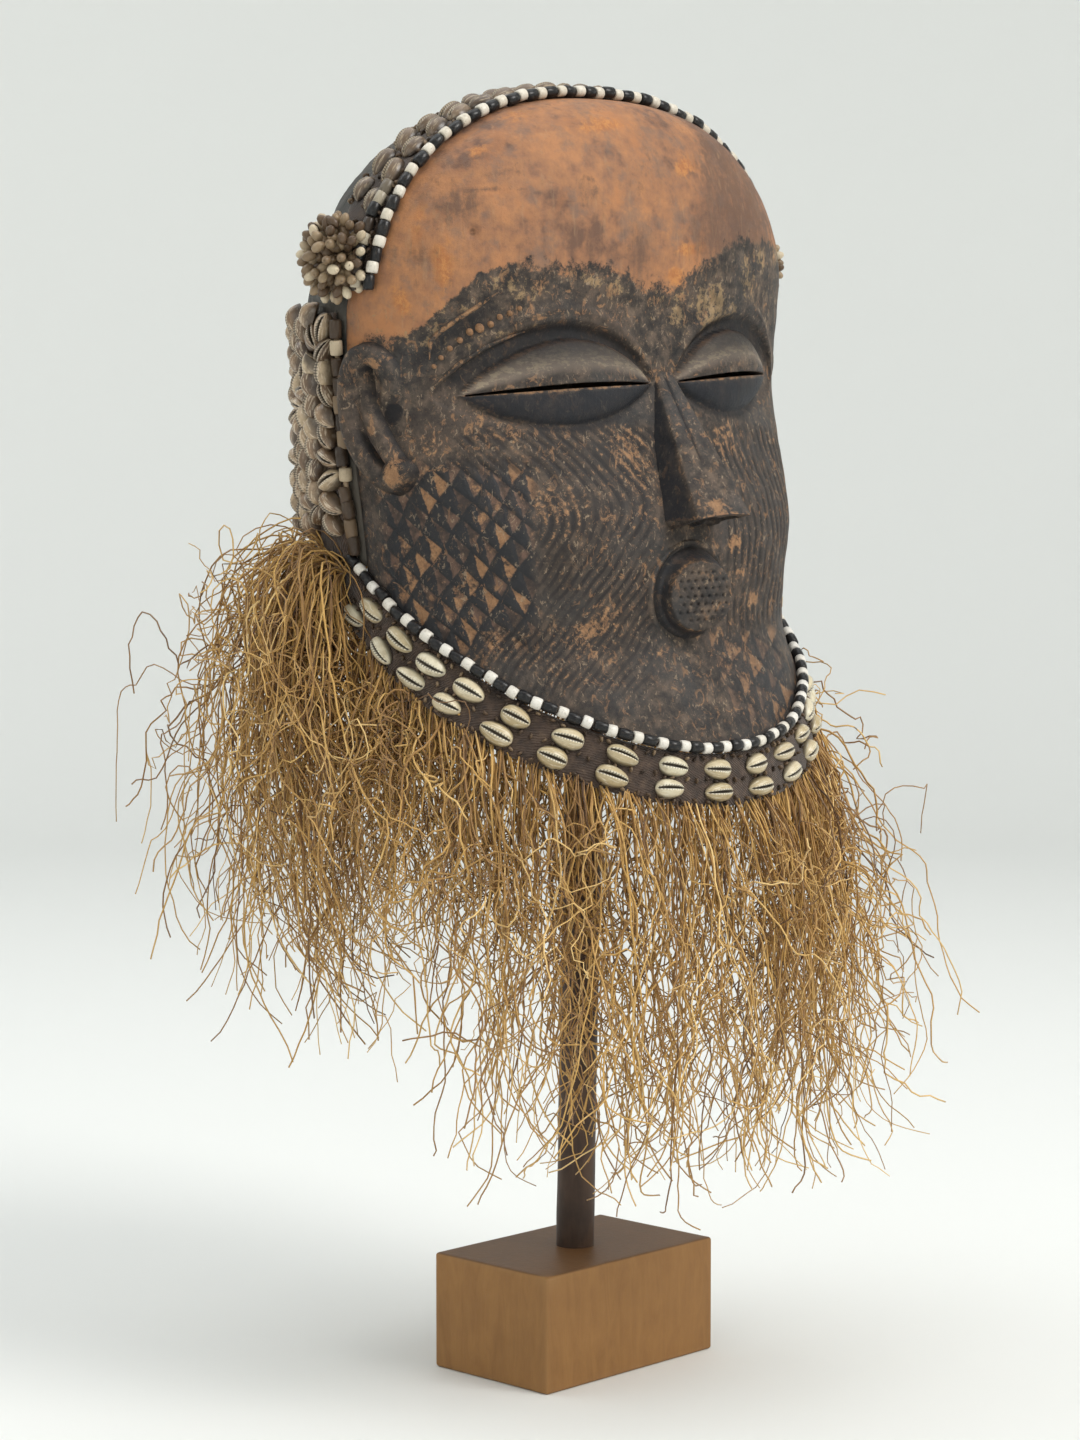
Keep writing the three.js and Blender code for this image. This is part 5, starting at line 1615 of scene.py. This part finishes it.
def hang(roots, starts, lengths, dice, locks, droop, curl):
    """Paths of fibres that leave their roots one way, then hang in locks and part at their ends."""
    count, steps = len(roots), FIBRE["steps"]
    (shaken, new_shake), (swung, new_swing), (drifted, new_drift) = (
        FIBRE[name] for name in ("shake", "swing", "drift"))
    step = (lengths / steps)[:, None]
    direction, shake, swing = starts.copy(), np.zeros((count, 3)), np.zeros((count, 3))
    common = np.zeros((locks.max() + 1, 3))
    own = np.broadcast_to(curl, count)[:, None] * dice.gamma(4, 0.25, (count, 1))
    hook = dice.normal(0, 1, (count, 3)) * [1, 1, 0.25]
    coil = dice.gamma(1.3, 0.62, (count, 1)) * own
    turn, period = dice.uniform(0, 6.28, (count, 1)), dice.uniform(5.5, 11, (count, 1))
    sideways = unit(dice.normal(0, 1, (count, 3)) * [1, 1, 0.1])
    path = [roots]
    for k in range(steps):
        down = k / steps
        shake = shaken * shake + new_shake * own * dice.normal(0, 1, (count, 3))
        swing = swung * swing + new_swing * own * dice.normal(0, 1, (count, 3))
        common = drifted * common + dice.normal(0, new_drift, common.shape)
        direction = unit(direction + [0, 0, -droop])
        splay = FIBRE["loose_end"] * smooth_step(down, 0.74, 1.0) * hook
        freed = 0.25 + 0.75 * smooth_step(down, 0.05, 0.5)
        angle = turn + 2 * np.pi * k / period
        loop = coil * window(down, 0.02, 0.12, 0.75, 1.0)
        loop = loop * (sideways * np.cos(angle) + [0, 0, 0.8] * np.sin(angle))
        drift = FIBRE["together"] * (1 - 0.6 * down) * common[locks]
        path.append(path[-1] + step * unit(direction + loop + (shake + swing) * freed + drift + splay))
    return np.stack(path, 1)


def kept_inside(paths):
    """Bends stray fibres back softly so that none leaves the raffia's room."""
    low, high = np.array(RAFFIA_ROOM, float)
    middle, half, soft = (low + high) / 2, (high - low) / 2, FIBRE["room_edge"]
    share = (paths - middle) / half
    past = np.clip(np.abs(share) - soft, 0, None)
    held = soft + (1 - soft) * np.tanh(past / (1 - soft))
    return middle + half * np.sign(share) * np.where(past > 0, held, np.abs(share))


def fibre_piece(name, paths, node, dice, tone):
    """Thin tubes along the paths, paler towards their tips."""
    count, steps = paths.shape[:2]
    thick = dice.uniform(*FIBRE["thick"], (count, 1))
    points, faces = tubes(kept_inside(paths), np.linspace(1, 0.75, steps)[None] * thick, 3, 5)
    shape = Shape(tone=1)
    shade = tone[:, None, None] + np.linspace(-0.06, 0.08, steps)[None, :, None]
    shape.add(points, faces, tone=np.broadcast_to(shade, (count, steps, 3)))
    object_of(name, shape, RAFFIA, node)


def make_beard(dice):
    """The fringe under the jaw band: a loose outer layer over an inner one."""
    span = JAW["span"]
    for word, count, depth, lean, ragged in (("outer", 600, 1.0, (0.05, 0.62), 24),
                                             ("inner", 370, -2.5, (-0.35, 0.3), 30)):
        degrees = dice.uniform(-span + 1, span - 1, count)
        locks = ((degrees + span) / BEARD["lock"]).astype(int)
        down = JAW["band"] - dice.uniform(0.5, 3, count)
        roots = band_point(degrees, down, depth + dice.uniform(-1, 1, count))
        level = unit(outward(jaw_point(degrees)) * [1, 1, 0])
        fan = dice.uniform(*lean, count)
        starts = unit(level * fan[:, None] + [0, 0, -1] + dice.normal(0, 0.22, (count, 3)))
        side = np.abs(degrees) / span
        foot = BEARD["tips"] + BEARD["near_rise"] * smooth_step(side, 0.3, 0.5)
        foot = foot + BEARD["side_rise"] * smooth_step(side, 0.5, 0.78)
        foot = foot + BEARD["wave"] * np.cos(np.radians(degrees * 12) + 1.1)
        foot = foot + dice.gamma(1.2, ragged, count)
        lengths = (roots[:, 2] - foot) * dice.uniform(1.1, 1.32, count)
        curl = 0.52 + 0.4 * smooth_step(side, 0.6, 0.85)
        lengths = np.clip(lengths, BEARD["shortest"], None)
        paths = hang(roots, starts, lengths, dice, locks, 0.16, curl)
        below = (paths[..., 2] < roots[:, None, 2] + 3).all(1)
        paths, locks = paths[below], locks[below]
        tone = np.clip(dice.normal(0.52, 0.2, len(paths)) + 0.08 * np.sin(locks * 2.3), 0, 1)
        fibre_piece(f"raffia_fringe_{word}", paths, "raffia_beard", dice, tone)


def make_nape(dice):
    """Long fibres round the hood's hem, which rise over each corner before they hang."""
    span, corner = NAPE_SPAN
    bunch = dict(rise=(-0.7, 0.75), longer=25, droop=0.36, curl=0.75)
    fringe = dict(rise=(-1.2, 0.2), longer=0, droop=0.22, curl=0.5)
    for word, low, high, count, reach, over, look in (
            ("bunch_right", corner, span, 380, 0.55, 26, bunch),
            ("bunch_left", -span, -corner, 320, 0.35, 12, bunch),
            ("nape", -corner, corner, 330, 0.55, 26, fringe)):
        degrees = dice.uniform(low, high, count)
        if look is bunch:
            degrees = np.sign(degrees) * np.clip(span + 2 - dice.gamma(2.2, 6, count), corner, None)
        locks = ((degrees + 120) / NAPE["lock"]).astype(int)
        z = HOOD["hem"] + dice.uniform(-4, 3, count)
        roots = lifted(ring(z, 180 + degrees), dice.uniform(0.5, 4, count))
        away = unit((roots - [0, 15, 0]) * [1 / 1.6, 1, 0])
        rise = dice.uniform(*look["rise"], count)
        starts = unit(away * dice.uniform(0.1, reach, (count, 1)) + rise[:, None] * [0, 0, 1]
                      + dice.normal(0, 0.22, (count, 3)))
        foot = NAPE["tips"] + NAPE["wave"] * np.cos(np.radians(degrees * 10) + 0.7)
        foot = foot + dice.gamma(1.3, 26, count)
        lengths = (roots[:, 2] - foot) * dice.uniform(1.1, 1.3, count) + look["longer"]
        lengths = np.clip(lengths, NAPE["shortest"], None)
        paths = hang(roots, starts, lengths, dice, locks, look["droop"], look["curl"])
        stray = (paths[..., 1] < 10) & (paths[..., 2] > 335)
        stray |= paths[..., 2] > roots[:, None, 2] + over
        paths, locks = paths[~stray.any(1)], locks[~stray.any(1)]
        tone = np.clip(dice.normal(0.5, 0.2, len(paths)) + 0.08 * np.sin(locks * 1.7), 0, 1)
        fibre_piece(f"raffia_fibres_{word}", paths, f"raffia_{word}", dice, tone)


# The stand

def make_block():
    """A block with rounded edges, worn along them and chipped at one corner."""
    half = np.array([BLOCK["wide"], BLOCK["deep"], BLOCK["tall"]]) / 2
    round_off = BLOCK["round"]
    steps = []
    for size in half:
        near = size - round_off * np.array([0, 0.35, 0.7, 1.05, 2.5])
        middle = np.linspace(-near[-1], near[-1], int(size / 2.2))[1:-1]
        steps.append(np.concatenate([-near, middle, near[::-1]]))
    sides, faces, used = [], [], 0
    for axis in range(3):
        a, b = [k for k in range(3) if k != axis]
        first, second = np.meshgrid(steps[a], steps[b], indexing="ij")
        for sign in (-1, 1):
            side = np.zeros((*first.shape, 3))
            side[..., a], side[..., b], side[..., axis] = first, second, sign * half[axis]
            across = quads(numbered(side, used))
            faces.append(across if (sign > 0) != (axis == 1) else across[:, ::-1])
            sides.append(side)
            used += first.size
    points = pooled(*sides)
    inner = np.clip(points, -(half - round_off), half - round_off)
    points = inner + round_off * unit(points - inner)
    corner = np.linalg.norm((points - half * [-1, -1, 1]) / BLOCK["chip"], axis=1)
    edge = np.linalg.norm((points - half * [0, -1, 1])[:, 1:], axis=1)
    nicks = np.clip(wobble(points, 9, 61) + 0.2, 0, 1)
    dent = BLOCK["chip_deep"] * np.exp(-corner ** 2)
    dent = dent + BLOCK["edge_worn"] * np.exp(-(edge / 2.2) ** 2) * nicks
    points = points - dent[:, None] * unit(points)
    points = points * (1 + 0.0008 * wobble(points, 40, 62))[:, None]
    points[:, 2] -= points[:, 2].min()
    near_edge = np.sort(half - np.abs(points - [0, 0, half[2]]), axis=1)[:, 1]
    worn = np.exp(-(near_edge / 1.6) ** 2) * 0.7 + np.exp(-corner ** 2)
    merged, index = np.unique(np.round(points, 4), axis=0, return_inverse=True)
    index = index.ravel()
    order = np.zeros(len(merged), int)
    order[index] = np.arange(len(points))
    shape = Shape(worn=1)
    shape.add(merged, [index[part] for part in faces], worn=worn[order])
    tones = [(0.25, (0.20, 0.096, 0.029)), (0.5, (0.265, 0.13, 0.040)), (0.75, (0.32, 0.16, 0.05))]
    material = stand_wood("block_wood", tones, (0.30, 0.16, 0.06), 130, BLOCK["tall"] * MM)
    object_of("wooden_block", shape, material, "stand_block", plain)


def make_rod():
    """A round rod that leans a little to the front, uneven along its length."""
    turn = full_turn(48)
    height = np.linspace(ROD["foot"], ROD["top"], 120)
    centre = packed(0, -(height - BLOCK["tall"]) * np.sin(np.radians(ROD["lean"])), height)
    around = packed(np.cos(turn), np.sin(turn), 0)
    radius = ROD["radius"] * (1 + 0.006 * np.sin(height / 23))[:, None, None]
    points = centre[:, None] + around * radius
    points = points + (0.12 * wobble(points, 14, 71))[..., None] * around
    ids = numbered(points)
    shape = Shape(worn=1)
    worn = 0.4 * (wobble(points, 20, 72) > 0.7)
    shape.add(points, [quads(closed(ids)), ids[:1], ids[-1:, ::-1]], worn=worn)
    tones = [(0.3, (0.02, 0.012, 0.008)), (0.5, (0.055, 0.032, 0.021)), (0.72, (0.11, 0.066, 0.042))]
    material = stand_wood("rod_wood", tones, (0.12, 0.07, 0.045), 70)
    object_of("wooden_rod", shape, material, "stand_rod", plain)


# The studio and the camera

def make_studio():
    """A round pale cove: a floor that curves up into a wall."""
    flat, bend, tall = 2.4, 0.9, 3.4
    arc = np.linspace(0, np.pi / 2, 14)
    curve = packed(flat + bend * np.sin(arc), bend - bend * np.cos(arc))
    outline = np.concatenate([[(0.0, 0.0)], curve, [(flat + bend, tall)]])
    turn = np.linspace(0, 2 * np.pi, 97)
    points = packed(outline[:, :1] * np.cos(turn), outline[:, :1] * np.sin(turn), outline[:, 1:])
    mesh = bpy.data.meshes.new("studio_cove")
    mesh.from_pydata(points.reshape(-1, 3).tolist(), [], quads(numbered(points)).tolist())
    mesh.polygons.foreach_set("use_smooth", np.ones(len(mesh.polygons), bool))
    mesh.materials.append(Nodes("pale_cove").finish((0.80, 0.81, 0.79, 1.0), 0.75))
    linked("studio_cove", mesh)


def add_light(name, place, target, size, power, colour):
    data = bpy.data.lights.new(name, "AREA")
    data.shape, data.size, data.size_y = "RECTANGLE", size[0], size[1]
    data.energy, data.color = power, colour
    aim(linked(name, data), np.array(place), np.array(target))


def aim(light, place, target):
    """Places a light so that it looks from place to target."""
    ahead = unit(target - place)
    across = unit(np.cross(ahead, [0, 0, 1]))
    rows = np.eye(4)
    rows[:3] = packed(across, np.cross(across, ahead), -ahead, place)
    light.matrix_world = Matrix(rows.tolist())


# The camera was worked out from the block's edges in the photograph
CAMERA = dict(place=(-1.108, -1.040, 0.407), down=3.75, turn=-46.18, lens=80.125, sensor=36)


def make_camera():
    data = bpy.data.cameras.new("camera")
    data.lens, data.sensor_fit, data.sensor_height = CAMERA["lens"], "VERTICAL", CAMERA["sensor"]
    data.clip_start, data.clip_end = 0.05, 50
    camera = linked("camera", data)
    camera.location = CAMERA["place"]
    camera.rotation_euler = (np.radians(90 - CAMERA["down"]), 0, np.radians(CAMERA["turn"]))
    bpy.context.scene.camera = camera


# The lights: name, place, what it looks at, size, power and colour
LIGHTS = (
    ("key", (0.5, -2.0, 2.1), (0, 0, 0.35), (1.2, 1.2), 50, (1.0, 0.98, 0.95)),
    ("fill", (-2.2, -0.5, 1.1), (0, 0, 0.35), (1.4, 1.2), 6, (1.0, 0.97, 0.93)),
    ("wash", (-0.9, 1.5, 2.4), (-0.2, 1.6, 0.0), (1.6, 1.6), 16, (0.96, 0.99, 1.0)),
    ("top", (0.1, 0.2, 2.6), (0, 0, 0.3), (2.2, 2.2), 22, (0.97, 0.99, 1.0)),
)
AIR = dict(colour=(0.95, 0.98, 1.0, 1.0), strength=0.42)


def make_light():
    world = bpy.data.worlds.new("studio_air")
    world.use_nodes = True
    background = world.node_tree.nodes["Background"]
    background.inputs["Color"].default_value = AIR["colour"]
    background.inputs["Strength"].default_value = AIR["strength"]
    bpy.context.scene.world = world
    for light in LIGHTS:
        add_light(*light)


bpy.context.scene.view_settings.view_transform = "Standard"
make_camera()
make_wood()
make_hood()
dice = np.random.default_rng(11)
make_headband(dice)
for side, word in ((-1, "right"), (1, "left")):
    make_rosette(side, word, dice)
    make_panel(side, word, dice)
make_jaw(dice)
make_beard(dice)
make_nape(dice)
make_block()
make_rod()
make_studio()
make_light()
